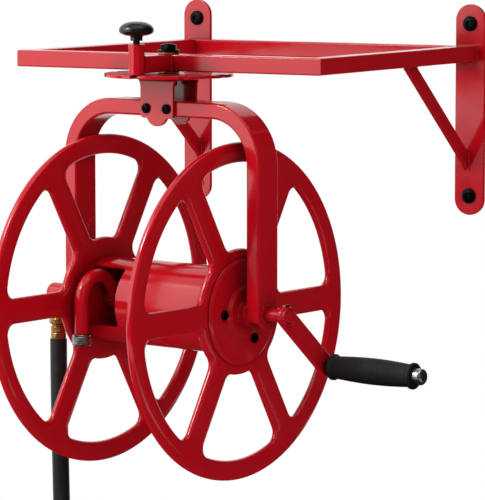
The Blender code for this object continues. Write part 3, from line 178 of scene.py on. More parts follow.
class ReelSizes(bpy.types.PropertyGroup):
    radius: length("Flange radius", 0.200, "Outer radius of a flange")
    inner: length("Flange place", 0.099, "Inner face of a flange from the middle")
    thick: length("Flange thickness", 0.012, "Greatest thickness of the rim and spokes")
    rim: length("Rim width", 0.023, "Width of the rim")
    hub: length("Hub radius", 0.074, "Radius of the hub's web")
    spokes: count("Spokes", 6, 3, "Spokes of a flange")
    spoke: length("Spoke width", 0.029, "Width of a spoke")
    edge: length("Spoke edge", 0.005, "Thickness of a spoke at its edge")
    corner: length("Window corner", 0.013, "Corner radius of a window")
    drum: length("Drum radius", 0.0515, "Outer radius of the drum")
    drum_wall: length("Drum wall", 0.0025, "Wall of the drum")
    window: length("Drum window", 0.053, "Length of the drum's window")
    pipe: length("Axle pipe", 0.011, "Radius of the axle pipe")
    bolt_ring: length("Hub bolt ring", 0.038, "Radius of the hub bolts' circle")
    goose: length("Gooseneck", 0.0085, "Radius of the gooseneck pipe")
    goose_bend: length("Gooseneck bend", 0.030, "Middle radius of the gooseneck's bend")
    nipple: length("Outlet", 0.0118, "Radius of the threaded outlet")


class CrankSizes(bpy.types.PropertyGroup):
    reach: length("Crank reach", 0.105, "Axle to grip axis")
    turn: bpy.props.FloatProperty(
        name="Crank angle",
        default=math.radians(-40.4),
        description="Rest angle of the crank from the rear horizontal",
        unit="ROTATION",
    )
    thick: length("Crank thickness", 0.006, "Thickness of the crank arm")
    end: length("Crank end", 0.0125, "End radius of the crank arm")
    hub: length("Crank hub", 0.010, "Depth of the crank's hub")
    shaft: length("Crank shaft", 0.0085, "Radius of the crank shaft")
    grip: length("Grip length", 0.119, "Length of the grip")
    grip_end: length("Grip end", 0.0135, "Radius of the grip beside its collars")
    grip_belly: length("Grip belly", 0.0158, "Greatest radius of the grip")
    head: length("Spindle head", 0.0098, "Radius of the spindle's head")


class HoseSizes(bpy.types.PropertyGroup):
    out: length("Inlet distance", 0.028, "Inlet axis outside the yoke's left face")
    radius: length("Hose radius", 0.0105, "Outer radius of the leader hose")
    free: length("Free hose", 0.303, "Hose between the coupling and the coil")
    drift: length("Hose drift", 0.004, "Sideways drift of the free hose")
    coil: length("Coil radius", 0.105, "Middle radius of the coil")
    pitch: length("Coil pitch", 0.0235, "Distance between turns")
    turns: bpy.props.FloatProperty(name="Turns", default=2.2, min=1.0, description="Turns in the coil")
    elbow: length("Elbow", 0.0128, "Radius of the inlet elbow")
    coupling: length("Coupling", 0.0096, "Radius of the brass coupling")


class Finishes(bpy.types.PropertyGroup):
    enamel: colour("Enamel", "#B90A19", "Gloss red enamel on steel and cast metal")
    plastic: colour("Black plastic", "#0C0D0E", "Moulded knob and grip")
    oxide: colour("Black oxide", "#1B1B1D", "Oxide finish of the screws and nuts")
    steel: colour("Steel", "#B9BABA", "Plated steel of the outlet and the spindle")
    bronze: colour("Bronze", "#A98253", "Sintered bushes")
    brass: colour("Brass", "#C99A5B", "Turned hose couplings")
    hose: colour("Hose", "#131516", "Rubber cover of the hose")
    strap: colour("Tie", "#2A2B2E", "Woven tie round the coil")
    floor: colour("Floor", "#F1F0EE", "Pale studio floor")


# Frames of the moving bodies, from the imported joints
JOINTS = {joint["name"]: joint for joint in frame["joints"]}
AXLE_WAY = JOINTS["reel_spin"]["axis"]
PIVOT = Vector(JOINTS["swivel"]["pos_m"])
IN_PLACE = Matrix.Identity(4)
ALONG_X = Matrix.Rotation(math.pi / 2, 4, "Y")
FACE_FRONT = Matrix.Rotation(math.pi / 2, 4, "X")
YZ_PLANE = Matrix(((0, 0, 1, 0), (1, 0, 0, 0), (0, 1, 0, 0), (0, 0, 0, 1)))
WAY_X, WAY_Y, WAY_Z = (Vector(row) for row in ((1, 0, 0), (0, 1, 0), (0, 0, 1)))


def shift(x, y, z):
    return Matrix.Translation((x, y, z))


def joint_frame(name):
    """Frame with its origin on a joint and local X along the reel's axle."""
    x = Vector(AXLE_WAY).normalized()
    turn = Matrix((x, WAY_Z.cross(x), WAY_Z)).transposed().to_4x4()
    return shift(*JOINTS[name]["pos_m"]) @ turn


BRACKET_AT = shift(PIVOT.x, 0.0, 0.0)
SWIVEL_AT = joint_frame("swivel")
AXLE_AT = joint_frame("reel_spin")
GRIP_AT = joint_frame("grip_spin")
# Axle frames whose local Z points out of the reel's left and right side
SIDES = [
    (side, label, AXLE_AT @ Matrix.Rotation(side * math.pi / 2, 4, "Y"))
    for side, label in ((-1, "left"), (1, "right"))
]


# ---- nodes and materials ----
def join(tree, node, links):
    """Gives inputs of a node a value or another node's output."""
    for socket, source in links.items():
        if isinstance(source, bpy.types.NodeSocket):
            tree.links.new(source, node.inputs[socket])
        else:
            node.inputs[socket].default_value = source


def add(tree, kind, links=None, **settings):
    """Adds one node with its settings and links."""
    made = tree.nodes.new(kind)
    for key, value in settings.items():
        setattr(made, key, value)
    join(tree, made, links or {})
    return made


def new_material(name):
    made = bpy.data.materials.new(name)
    made.use_nodes = True
    return made, made.node_tree, made.node_tree.nodes["Principled BSDF"]


def dress(tree, shader, tint, rough, bump):
    """Feeds a shader with a mixed colour, a ranged roughness and a bump."""
    links = {"Base Color": tint.outputs["Result"], "Roughness": rough.outputs["Result"]}
    join(tree, shader, {**links, "Normal": bump.outputs["Normal"]})


def gloss_enamel(name, base, peel):
    """Stoved gloss enamel: mirror sheen, faint waves, painted shade darkening its colour in corners, and duller
    gloss where hands rub.
    """
    made, tree, shader = new_material(name)
    place = add(tree, "ShaderNodeTexCoord").outputs["Object"]
    # 16 mm waves stand for orange peel, whose real 1 mm grain is too fine to show
    waves = add(tree, "ShaderNodeTexNoise", {"Vector": place, "Scale": 62.0, "Detail": 1.5, "Roughness": 0.4})
    bumps = add(tree, "ShaderNodeBump", {"Height": waves.outputs["Fac"], "Strength": peel, "Distance": 0.0006})
    grain = add(tree, "ShaderNodeTexNoise", {"Vector": place, "Scale": 420.0, "Detail": 1.0})
    links = {"Height": grain.outputs["Fac"], "Normal": bumps.outputs["Normal"]}
    fine = add(tree, "ShaderNodeBump", {**links, "Strength": peel * 0.35, "Distance": 0.0002})
    # Hand-sized patches, 60 mm, where the gloss has dulled
    rub = add(tree, "ShaderNodeTexNoise", {"Vector": place, "Scale": 16.0, "Detail": 4.0, "Roughness": 0.6})
    span = {"From Min": 0.35, "From Max": 0.75, "To Min": 0.10, "To Max": 0.22}
    rough = add(tree, "ShaderNodeMapRange", {"Value": rub.outputs["Fac"], **span})
    # Painted shade: ambient occlusion darkens the enamel's colour to 0.35 of its base in corners and creases
    corner = add(tree, "ShaderNodeAmbientOcclusion", {"Distance": 0.03}, samples=4)
    tones = {"A": (*(c * 0.35 for c in base), 1.0), "B": (*base, 1.0)}
    shade = add(tree, "ShaderNodeMix", {"Factor": corner.outputs["AO"], **tones}, data_type="RGBA")
    dress(tree, shader, shade, rough, fine)
    join(tree, shader, {"IOR": 1.5})
    return made


def enamel_over_bronze(name, base, peel):
    """Bush sprayed over with the frame's enamel, rubbed bare in 3 mm patches."""
    made = gloss_enamel(name, base, peel)
    tree = made.node_tree
    shader = tree.nodes["Principled BSDF"]
    place = add(tree, "ShaderNodeTexCoord").outputs["Object"]
    chips = add(tree, "ShaderNodeTexNoise", {"Vector": place, "Scale": 330.0, "Detail": 3.0})
    bare = add(tree, "ShaderNodeMapRange", {"Value": chips.outputs["Fac"], "From Min": 0.62, "From Max": 0.66})
    # coat is the enamel colour with its painted corner shade from ambient occlusion
    coat = shader.inputs["Base Color"].links[0].from_socket
    metal = (*bpy.context.scene.reel_finishes.bronze, 1.0)
    tones = {"A": coat, "B": metal}
    tint = add(tree, "ShaderNodeMix", {"Factor": bare.outputs["Result"], **tones}, data_type="RGBA")
    join(tree, shader, {"Base Color": tint.outputs["Result"], "Metallic": bare.outputs["Result"]})
    return made


def moulded_black(name, base, grit, depth, low, high):
    """Moulded plastic or rubber with a fine tool grain."""
    made, tree, shader = new_material(name)
    place = add(tree, "ShaderNodeTexCoord").outputs["Object"]
    grain = add(tree, "ShaderNodeTexNoise", {"Vector": place, "Scale": grit, "Detail": 3.0})
    bump = add(tree, "ShaderNodeBump", {"Height": grain.outputs["Fac"], "Strength": depth, "Distance": 0.0005})
    rub = add(tree, "ShaderNodeTexNoise", {"Vector": place, "Scale": 40.0, "Detail": 3.0})
    span = {"From Min": 0.3, "From Max": 0.7, "To Min": low, "To Max": high}
    rough = add(tree, "ShaderNodeMapRange", {"Value": rub.outputs["Fac"], **span})
    join(tree, shader, {"Base Color": (*base, 1.0), "Roughness": rough.outputs["Result"]})
    join(tree, shader, {"Normal": bump.outputs["Normal"]})
    return made


def worked_metal(name, base, low, high, lines):
    """Turned or oxidised metal: fine tool lines and a patchy sheen."""
    made, tree, shader = new_material(name)
    place = add(tree, "ShaderNodeTexCoord").outputs["Object"]
    patches = add(tree, "ShaderNodeTexNoise", {"Vector": place, "Scale": 160.0, "Detail": 4.0})
    span = {"From Min": 0.3, "From Max": 0.7, "To Min": low, "To Max": high}
    rough = add(tree, "ShaderNodeMapRange", {"Value": patches.outputs["Fac"], **span})
    scratch = add(tree, "ShaderNodeTexNoise", {"Vector": place, "Scale": lines, "Detail": 2.0})
    bump = add(tree, "ShaderNodeBump", {"Height": scratch.outputs["Fac"], "Strength": 0.12, "Distance": 0.0003})
    tones = {"A": (*(c * 0.72 for c in base), 1.0), "B": (*(min(1.0, c * 1.12) for c in base), 1.0)}
    tint = add(tree, "ShaderNodeMix", {"Factor": patches.outputs["Fac"], **tones}, data_type="RGBA")
    dress(tree, shader, tint, rough, bump)
    join(tree, shader, {"Metallic": 1.0})
    return made


def hose_cover(name, base):
    """Smooth rubber cover: a wrapped-cloth print of 4 mm bands and dusty scuffs."""
    made, tree, shader = new_material(name)
    along = add(tree, "ShaderNodeAttribute", attribute_name="along").outputs["Fac"]
    around = add(tree, "ShaderNodeAttribute", attribute_name="around").outputs["Fac"]
    turn = add(tree, "ShaderNodeMath", {0: along, 1: 250.0, 2: around}, operation="MULTIPLY_ADD")
    wave = add(tree, "ShaderNodeMath", {0: turn.outputs[0], 1: math.tau}, operation="MULTIPLY")
    band = add(tree, "ShaderNodeMath", {0: wave.outputs[0]}, operation="SINE")
    bump = add(tree, "ShaderNodeBump", {"Height": band.outputs[0], "Strength": 0.10, "Distance": 0.0004})
    place = add(tree, "ShaderNodeTexCoord").outputs["Object"]
    dust = add(tree, "ShaderNodeTexNoise", {"Vector": place, "Scale": 70.0, "Detail": 5.0, "Roughness": 0.65})
    veil = add(tree, "ShaderNodeMapRange", {"Value": dust.outputs["Fac"], "From Min": 0.45, "From Max": 0.8})
    tones = {"A": (*base, 1.0), "B": (*(min(1.0, c * 1.7 + 0.002) for c in base), 1.0)}
    tint = add(tree, "ShaderNodeMix", {"Factor": veil.outputs["Result"], **tones}, data_type="RGBA")
    span = {"From Min": 0.3, "From Max": 0.8, "To Min": 0.38, "To Max": 0.62}
    dress(tree, shader, tint, add(tree, "ShaderNodeMapRange", {"Value": dust.outputs["Fac"], **span}), bump)
    return made


def woven_tie(name, base):
    """Hook-and-loop webbing: a 1 mm basket weave."""
    made, tree, shader = new_material(name)
    place = add(tree, "ShaderNodeTexCoord").outputs["Object"]
    rows = add(tree, "ShaderNodeTexWave", {"Vector": place, "Scale": 160.0}, bands_direction="Z")
    cols = add(tree, "ShaderNodeTexWave", {"Vector": place, "Scale": 160.0}, bands_direction="Y")
    weave = add(tree, "ShaderNodeMath", {0: rows.outputs["Fac"], 1: cols.outputs["Fac"]}, operation="MULTIPLY")
    bump = add(tree, "ShaderNodeBump", {"Height": weave.outputs[0], "Strength": 0.5, "Distance": 0.0005})
    tones = {"A": (*(c * 0.6 for c in base), 1.0), "B": (*(c * 1.3 for c in base), 1.0)}
    tint = add(tree, "ShaderNodeMix", {"Factor": weave.outputs[0], **tones}, data_type="RGBA")
    join(tree, shader, {"Base Color": tint.outputs["Result"], "Roughness": 0.85})
    join(tree, shader, {"Normal": bump.outputs["Normal"]})
    return made


# Maker, material name and colour of each finish, then the maker's other values
LOOKS = {
    "red_enamel": (gloss_enamel, "red_gloss_enamel", "enamel", 0.18),
    "red_cast": (gloss_enamel, "red_enamel_on_casting", "enamel", 0.30),
    "black_plastic": (moulded_black, "black_moulded_plastic", "plastic", 500.0, 0.15, 0.2, 0.34),
    "grip_rubber": (moulded_black, "black_grip_rubber", "plastic", 700.0, 0.3, 0.6, 0.75),
    "black_fastener": (worked_metal, "black_oxide_steel", "oxide", 0.3, 0.5, 900.0),
    "bright_steel": (worked_metal, "plated_steel", "steel", 0.2, 0.36, 1100.0),
    "bush_bronze": (worked_metal, "sintered_bronze", "bronze", 0.36, 0.55, 1300.0),
    "bush_painted": (enamel_over_bronze, "enamel_over_bronze", "enamel", 0.18),
    "coupling_brass": (worked_metal, "turned_brass", "brass", 0.2, 0.38, 1000.0),
    "hose_rubber": (hose_cover, "rubber_hose_cover", "hose"),
    "tie_strap": (woven_tie, "woven_nylon_tie", "strap"),
}
MADE = {}


def look(name):
    """The finish of that name, made on its first use from the panel's colours."""
    if name not in MADE:
        maker, label, base, *rest = LOOKS[name]
        MADE[name] = maker(label, tuple(getattr(bpy.context.scene.reel_finishes, base)), *rest)
    return MADE[name]


# ---- outlines ----
def arc(radius, first, last, steps, centre=(0.0, 0.0)):
    """Points of a circle in even steps from one angle to another."""
    turns = [first + (last - first) * k / steps for k in range(steps + 1)]
    return [(centre[0] + radius * math.cos(a), centre[1] + radius * math.sin(a)) for a in turns]


def circle(radius, steps):
    return arc(radius, 0.0, math.tau, steps)[:-1]


def hexagon(flats):
    return circle(flats / math.sqrt(3), 6)


def ring_profile(inner, outer, low, high):
    return [(inner, low), (outer, low), (outer, high), (inner, high)]


def dome(radius, flat, low, high, steps, power=1.0):
    """Profile of a round top, from its edge to a flat spot in its middle."""
    turns = [math.pi / 2 * k / steps for k in range(1, steps + 1)]
    return [(flat + (radius - flat) * math.cos(a) ** power, low + (high - low) * math.sin(a)) for a in turns]


def rounded_box(width, height, radius, steps):
    points = []
    for turn, su, sv in ((0, 1, 1), (90, -1, 1), (180, -1, -1), (270, 1, -1)):
        centre = (su * (width / 2 - radius), sv * (height / 2 - radius))
        points += arc(radius, math.radians(turn), math.radians(turn + 90), steps, centre)
    return points


def slot_outline(start, end, radius, steps):
    """Outline of a flat bar with half-round ends."""
    along = math.atan2(end[1] - start[1], end[0] - start[0])
    points = []
    for centre, first in ((end, along - math.pi / 2), (start, along + math.pi / 2)):
        points += arc(radius, first, first + math.pi, steps, centre)
    return points


def fillet(points, radius, steps=3):
    """Rounds the corners of a closed (u, v) outline, leaving points on the axis and shallow ones."""
    made = []
    for i, spot in enumerate(points):
        here = Vector(spot)
        before = Vector(points[i - 1]) - here
        after = Vector(points[(i + 1) % len(points)]) - here
        kept = spot[0] < TINY or min(before.length, after.length) < 1e-6
        if kept or before.angle(after) > math.radians(150):
            made.append(spot)
            continue
        back = radius / math.tan(before.angle(after) / 2)
        back = min(back, 0.45 * before.length, 0.45 * after.length)
        start = here + before.normalized() * back
        stop = here + after.normalized() * back
        for k in range(steps + 1):
            s = k / steps
            made.append(tuple(start * (1 - s) ** 2 + here * 2 * s * (1 - s) + stop * s * s))
    return made


def ease(t):
    """Soft step from 0 to 1."""
    t = max(0.0, min(1.0, t))
    return t * t * (3 - 2 * t)


# ---- mesh tools ----
def bridge(bm, low, high, closed=True):
    """Faces between two rows of points."""
    for i in range(len(low) if closed else len(low) - 1):
        j = (i + 1) % len(low)
        bm.faces.new((low[i], low[j], high[j], high[i]))


def add_turned(bm, profile, segments, matrix=IN_PLACE):
    """Turns a closed profile of (radius, height) points about Z."""
    rings = []
    for radius, height in profile:
        spots = [(0.0, 0.0)] if radius < TINY else circle(radius, segments)
        rings.append([bm.verts.new(matrix @ Vector((u, v, height))) for u, v in spots])
    for low, high in zip(rings, rings[1:] + rings[:1]):
        if len(low) > 1 and len(high) > 1:
            bridge(bm, low, high)
        elif len(low) > 1 or len(high) > 1:
            ring, tip = (low, high[0]) if len(low) > 1 else (high, low[0])
            for a, b in zip(ring, ring[1:] + ring[:1]):
                bm.faces.new((a, b, tip))


def add_rod(bm, radius, low, high, segments, matrix=IN_PLACE):
    add_turned(bm, ring_profile(0.0, radius, low, high), segments, matrix)


def add_prism(bm, outline, low, high, matrix=IN_PLACE):
    floor, roof = ([bm.verts.new(matrix @ Vector((u, v, level))) for u, v in outline] for level in (low, high))
    bm.faces.new(floor)
    bm.faces.new(roof)
    bridge(bm, floor, roof)


def add_swept(bm, frames, outer, inner=None):
    """Sweeps a section through frames of (origin, u, v), with its ends closed or joined to a bore."""
    shells = []
    for section in (outer, inner) if inner else (outer,):
        rings = [[bm.verts.new(origin + a * u + b * v) for a, b in section] for origin, u, v in frames]
        for low, high in zip(rings, rings[1:]):
            bridge(bm, low, high)
        shells.append(rings)
    for end in (0, -1):
        if inner:
            bridge(bm, shells[0][end], shells[1][end])
        else:
            bm.faces.new(shells[0][end])


def add_nut(bm, flats, low, high, bore):
    """Hexagon nut with both faces chamfered and an open bore."""
    tip = flats / math.sqrt(3)
    edge = 0.08 * flats
    rows = []
    for limit, z in ((0.93 * tip, low), (tip, low + edge), (tip, high - edge), (0.93 * tip, high)):
        row = []
        for u, v in circle(1.0, 36):
            a = math.atan2(v, u) % (math.pi / 3) - math.pi / 6
            reach = min(flats / 2 / math.cos(a), limit)
            row.append(bm.verts.new((reach * u, reach * v, z)))
        rows.append(row)
    for z in (high, low):
        rows.append([bm.verts.new((u, v, z)) for u, v in circle(bore, 36)])
    for a, b in zip(rows, rows[1:] + rows[:1]):
        bridge(bm, a, b)


def mesh_of(add_shape, *sizes):
    """A new mesh with one shape in it."""
    bm = bmesh.new()
    add_shape(bm, *sizes)
    return bm


def linked(name, bm):
    data = bpy.data.meshes.new(name)
    bm.to_mesh(data)
    bm.free()
    made = bpy.data.objects.new(name, data)
    bpy.context.scene.collection.objects.link(made)
    return made


def as_object(name, bm, matrix=IN_PLACE):
    """Links a closed mesh as an object whose place is in its mesh."""
    bmesh.ops.remove_doubles(bm, verts=bm.verts, dist=TINY)
    bmesh.ops.recalc_face_normals(bm, faces=bm.faces)
    made = linked(name, bm)
    made.data.transform(matrix)
    return made


def line_object(name, runs):
    """Loose edges along each run of points."""
    bm = bmesh.new()
    for run in runs:
        spots = [bm.verts.new(p) for p in run]
        for a, b in zip(spots, spots[1:]):
            bm.edges.new((a, b))
    return linked(name, bm)


def bake(target):
    """Turns a piece and its modifiers into a plain mesh."""
    view = bpy.context.evaluated_depsgraph_get()
    view.update()
    data = bpy.data.meshes.new_from_object(target.evaluated_get(view), depsgraph=view)
    old = target.data
    target.modifiers.clear()
    target.data = data
    data.name = target.name
    bpy.data.meshes.remove(old)


def cut(target, bm, matrix=IN_PLACE, operation="DIFFERENCE"):
    """Cuts a mesh out of a piece, or joins it or keeps what both share."""
    tool = as_object(target.name + "_tool", bm, matrix)
    step = target.modifiers.new("cut", "BOOLEAN")
    step.operation = operation
    step.object = tool
    bake(target)
    bpy.data.objects.remove(tool, do_unlink=True)


def drop_slivers(data):
    """Splits many-sided faces and removes those without area."""
    bm = bmesh.new()
    bm.from_mesh(data)
    bmesh.ops.triangulate(bm, faces=[face for face in bm.faces if len(face.verts) > 4])
    bmesh.ops.dissolve_degenerate(bm, edges=bm.edges, dist=1e-5)
    bm.to_mesh(data)
    bm.free()


def smooth(data, sharp):
    data.shade_smooth()
    data.set_sharp_from_angle(angle=math.radians(sharp))


def finish(target, body, slot, nodes=None, bevel=0.0, sharp=35.0, coat=None, segments=2):
    """Rounds the edges, smooths the shading, gives the finish and ties the piece to its body.

    A piece stands for the node of its own name unless other nodes are given.
    """
    if bevel:
        step = target.modifiers.new("edges", "BEVEL")
        step.width = bevel
        step.segments = segments
        step.limit_method = "ANGLE"
        step.angle_limit = math.radians(40)
        step.harden_normals = False
        bake(target)
    drop_slivers(target.data)
    smooth(target.data, sharp)
    step = target.modifiers.new("normals", "WEIGHTED_NORMAL")
    step.keep_sharp = True
    bake(target)
    target.data.materials.clear()
    target.data.materials.append(look(coat or slot))
    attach(target, body)
    if nodes is None:
        nodes = [target.name.removesuffix("_finish")]
    if nodes:
        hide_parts(*nodes)
    return target


def turned_piece(node, profile, matrix, body, slot, soft=0.0006, **more):
    """Finished piece with a profile turned about its axis, its corners rounded."""
    bm = mesh_of(add_turned, fillet(profile, soft) if soft else profile, 72)
    return finish(as_object(node + "_finish", bm, matrix), body, slot, **more)


# ---- node trees for what repeats or follows a path ----
def open_tree(name, **sockets):
    """Geometry tree with its named inputs; Material is the last."""
    tree = bpy.data.node_groups.new(name, "GeometryNodeTree")
    tree.interface.new_socket("Geometry", in_out="OUTPUT", socket_type="NodeSocketGeometry")
    for label, kind in {"Geometry": "Geometry", **sockets, "Material": "Material"}.items():
        tree.interface.new_socket(label.replace("_", " "), in_out="INPUT", socket_type="NodeSocket" + kind)
    return tree, add(tree, "NodeGroupInput").outputs


def close_tree(tree, given, shape, weld=0.0):
    """Ends a tree with plain meshes, welded where they meet if asked, and the given material."""
    real = add(tree, "GeometryNodeRealizeInstances", {0: shape.outputs[0]})
    if weld:
        real = add(tree, "GeometryNodeMergeByDistance", {"Geometry": real.outputs[0], "Distance": weld})
    done = add(tree, "GeometryNodeSetMaterial", {"Geometry": real.outputs[0], "Material": given["Material"]})
    add(tree, "NodeGroupOutput", {0: done.outputs[0]})
    return tree


def run_tree(target, maker, **values):
    """Puts a tree on a piece, sets its inputs by identifier and keeps the result as a mesh."""
    tree = bpy.data.node_groups.get(maker.__name__) or maker(maker.__name__)
    step = target.modifiers.new(tree.name, "NODES")
    step.node_group = tree
    for item in tree.interface.items_tree:
        key = item.name.lower().replace(" ", "_")
        if item.in_out == "INPUT" and key in values:
            step[item.identifier] = values[key]
    bake(target)


def copies_round_axis(name):
    """Copies of the geometry in even steps about Z, welded where they meet."""
    tree, given = open_tree(name, Count="Int", First_Turn="Float")
    points = add(tree, "GeometryNodePoints", {"Count": given["Count"]})
    step = add(tree, "ShaderNodeMath", {0: math.tau, 1: given["Count"]}, operation="DIVIDE")
    index = add(tree, "GeometryNodeInputIndex")
    sum_of = {0: index.outputs[0], 1: step.outputs[0], 2: given["First Turn"]}
    turn = add(tree, "ShaderNodeMath", sum_of, operation="MULTIPLY_ADD")
    vector = add(tree, "ShaderNodeCombineXYZ", {"Z": turn.outputs[0]})
    spin = add(tree, "FunctionNodeEulerToRotation", {0: vector.outputs[0]})
    links = {"Points": points.outputs[0], "Instance": given["Geometry"], "Rotation": spin.outputs[0]}
    return close_tree(tree, given, add(tree, "GeometryNodeInstanceOnPoints", links), weld=0.00001)


def copies_at_points(name):
    """One copy of an object at each vertex."""
    tree, given = open_tree(name, Item="Object")
    item = add(tree, "GeometryNodeObjectInfo", {"Object": given["Item"]}, transform_space="ORIGINAL")
    links = {"Points": given["Geometry"], "Instance": item.outputs["Geometry"]}
    return close_tree(tree, given, add(tree, "GeometryNodeInstanceOnPoints", links))


def tube_on_path(name):
    """Round tube on a line of edges, with its length and turn kept for patterns."""
    tree, given = open_tree(name, Radius="Float", Sides="Int")
    path = add(tree, "GeometryNodeMeshToCurve", {0: given["Geometry"]})
    links = {"Radius": given["Radius"], "Resolution": given["Sides"]}
    ring = add(tree, "GeometryNodeCurvePrimitiveCircle", links)
    marked = []
    for curve, label, measure in ((path, "along", "Length"), (ring, "around", "Factor")):
        share = add(tree, "GeometryNodeSplineParameter")
        links = {"Geometry": curve.outputs[0], "Name": label, "Value": share.outputs[measure]}
        marked.append(add(tree, "GeometryNodeStoreNamedAttribute", links).outputs[0])
    links = {"Curve": marked[0], "Profile Curve": marked[1], "Fill Caps": True}
    return close_tree(tree, given, add(tree, "GeometryNodeCurveToMesh", links))


def weld_on_path(name):
    """Ripples of a weld: drops in close steps along a line, a little uneven in size."""
    tree, given = open_tree(name, Radius="Float", Step="Float")
    path = add(tree, "GeometryNodeMeshToCurve", {0: given["Geometry"]})
    links = {"Curve": path.outputs[0], "Length": given["Step"]}
    spaced = add(tree, "GeometryNodeResampleCurve", links, mode="LENGTH")
    drop = add(tree, "GeometryNodeMeshIcoSphere", {"Radius": given["Radius"], "Subdivisions": 2})
    sleek = add(tree, "GeometryNodeSetShadeSmooth", {"Geometry": drop.outputs[0]})
    uneven = add(tree, "FunctionNodeRandomValue", {"Seed": 4, 2: 0.85, 3: 1.1}, data_type="FLOAT")
    links = {"Points": spaced.outputs[0], "Instance": sleek.outputs[0], "Scale": uneven.outputs[1]}
    return close_tree(tree, given, add(tree, "GeometryNodeInstanceOnPoints", links))


def tube_piece(node, path, radius, sides, matrix, body, slot, nodes=None):
    """Finished round tube along a path."""
    made = line_object(node + "_finish", [path])
    run_tree(made, tube_on_path, radius=radius, sides=sides, material=look(slot))
    made.data.transform(matrix)
    return finish(made, body, slot, nodes)


def copied_piece(name, item, spots, matrix, body, nodes):
    """Finished black fasteners, one copy of a loose item at each spot."""
    made = line_object(name, [[spot] for spot in spots])
    run_tree(made, copies_at_points, item=item, material=look("black_fastener"))
    made.data.transform(matrix)
    bpy.data.objects.remove(item, do_unlink=True)
    finish(made, body, "black_fastener", nodes)


def welds(name, runs, radius, matrix, body):
    made = line_object(name, runs)
    run_tree(made, weld_on_path, radius=radius, step=radius * 0.8, material=look("red_enamel"))
    made.data.transform(matrix)
    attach(made, body)


def socket_head(name, head_r, head_h, shank_r, shank, matrix=IN_PLACE):
    """Button-head screw along +Z: its head starts at zero and its shank goes down."""
    brim = 0.28 * head_h
    profile = [(0.0, -shank), (shank_r, -shank), (shank_r, 0.0), (head_r, 0.0), (head_r, brim)]
    profile += dome(head_r, 0.35 * head_r, brim, head_h, 6) + [(0.0, head_h)]
    made = as_object(name, mesh_of(add_turned, profile, 36))
    cut(made, mesh_of(add_prism, hexagon(0.78 * head_r), 0.42 * head_h, 2 * head_h))
    smooth(made.data, 35.0)
    made.data.transform(matrix)
    return made


# ---- the bracket ----
def screw_heights(s):
    return (s.strap_above - s.screw_inset, -(s.strap_below - s.screw_inset))


def wall_strap(label, side, s):
    """Flat bar with half-round ends and its two screw holes."""
    r = s.strap_width / 2
    outline = slot_outline((0.0, -(s.strap_below - r)), (0.0, s.strap_above - r), r, 28)
    at = BRACKET_AT @ shift(side * s.spacing / 2, 0.0, 0.0)
    bar = mesh_of(add_prism, outline, 0.0, s.strap_thick, FACE_FRONT)
    made = as_object(label + "_wall_strap_finish", bar, at)
    holes = bmesh.new()
    for z in screw_heights(s):
        add_rod(holes, SCREW_HOLE_R, -CLEAR, 2 * s.strap_thick, 24, shift(0.0, 0.0, z) @ FACE_FRONT)
    cut(made, holes, at)
    finish(made, "bracket", "red_enamel", bevel=0.0009, segments=3)


def brace(label, side, s):
    """Flat bar from a strap up to its side tube; returns the lines of its welds."""
    top = -(s.tube + SEAT)
    face = -(s.strap_thick + SEAT)
    slope = math.atan2(s.brace_drop, s.brace_out)
    outer = face - s.brace_out - s.brace_width / math.sin(slope)
    low = top - s.brace_drop - s.brace_width / math.cos(slope)
    outline = [(face - s.brace_out, top), (outer, top), (face, low), (face, top - s.brace_drop)]
    x = side * (s.spacing / 2 - s.brace_inset)
    bar = mesh_of(add_prism, outline, -s.brace_thick / 2, s.brace_thick / 2, YZ_PLANE)
    made = as_object(label + "_brace_finish", bar, BRACKET_AT @ shift(x, 0.0, 0.0))
    finish(made, "bracket", "red_enamel", bevel=0.0007)
    runs = []
    for edge in (x - s.brace_thick / 2, x + s.brace_thick / 2):
        ends = [(edge, y, z) for y, z in outline]
        runs += [ends[:2], ends[2:]]
    return runs


def add_mitred(bm, size, corner, reach, matrix):
    """Square tube with 45 degree ends, its outer long side on local -Y."""
    half = reach / 2 - 0.00005
    section = rounded_box(size, size, corner, 5)
    rings = []
    for side in (-1, 1):
        spots = [(side * (half - (y + size / 2)), y, z - size / 2) for y, z in section]
        rings.append([bm.verts.new(matrix @ Vector(spot)) for spot in spots])
    bridge(bm, *rings)
    for ring in rings:
        bm.faces.new(ring)


class OBJECT_OT_reel_frame(bpy.types.Operator):
    """Square tube frame with mitred corners and the welds that join it to the straps"""

    bl_idname = "object.reel_frame"
    bl_label = "Bracket frame"

    def execute(self, context):
        s = context.scene.reel_bracket
        wide = s.spacing + s.tube
        back = -(s.strap_thick + SEAT)
        front = -(s.out + s.tube / 2)
        middle = (back + front) / 2
        tubes = (
            ("front", wide, shift(0.0, -s.out, 0.0), 0.0),
            ("rear", wide, shift(0.0, back - s.tube / 2, 0.0), math.pi),
            ("left", back - front, shift(-s.spacing / 2, middle, 0.0), -math.pi / 2),
            ("right", back - front, shift(s.spacing / 2, middle, 0.0), math.pi / 2),
        )
        for label, reach, place, turn in tubes:
            tube = mesh_of(add_mitred, s.tube, s.corner, reach, place @ Matrix.Rotation(turn, 4, "Z"))
            made = as_object(label + "_frame_tube_finish", tube, BRACKET_AT)
            if label == "front":
                cut(made, mesh_of(add_rod, PIVOT_HOLE_R, -s.tube - CLEAR, CLEAR, 32, place), BRACKET_AT)
            finish(made, "bracket", "red_enamel", sharp=50.0)
        runs = []
        for x in (-s.spacing / 2, s.spacing / 2):
            left, right = x - s.tube / 2, x + s.tube / 2
            for edge in (left, right):
                runs.append([(edge, back, -WELD_INSET), (edge, back, -s.tube + WELD_INSET)])
            runs.append([(left + WELD_INSET, back, -s.tube), (right - WELD_INSET, back, -s.tube)])
        welds("strap_welds", runs, s.weld, BRACKET_AT, "bracket")
        return {"FINISHED"}


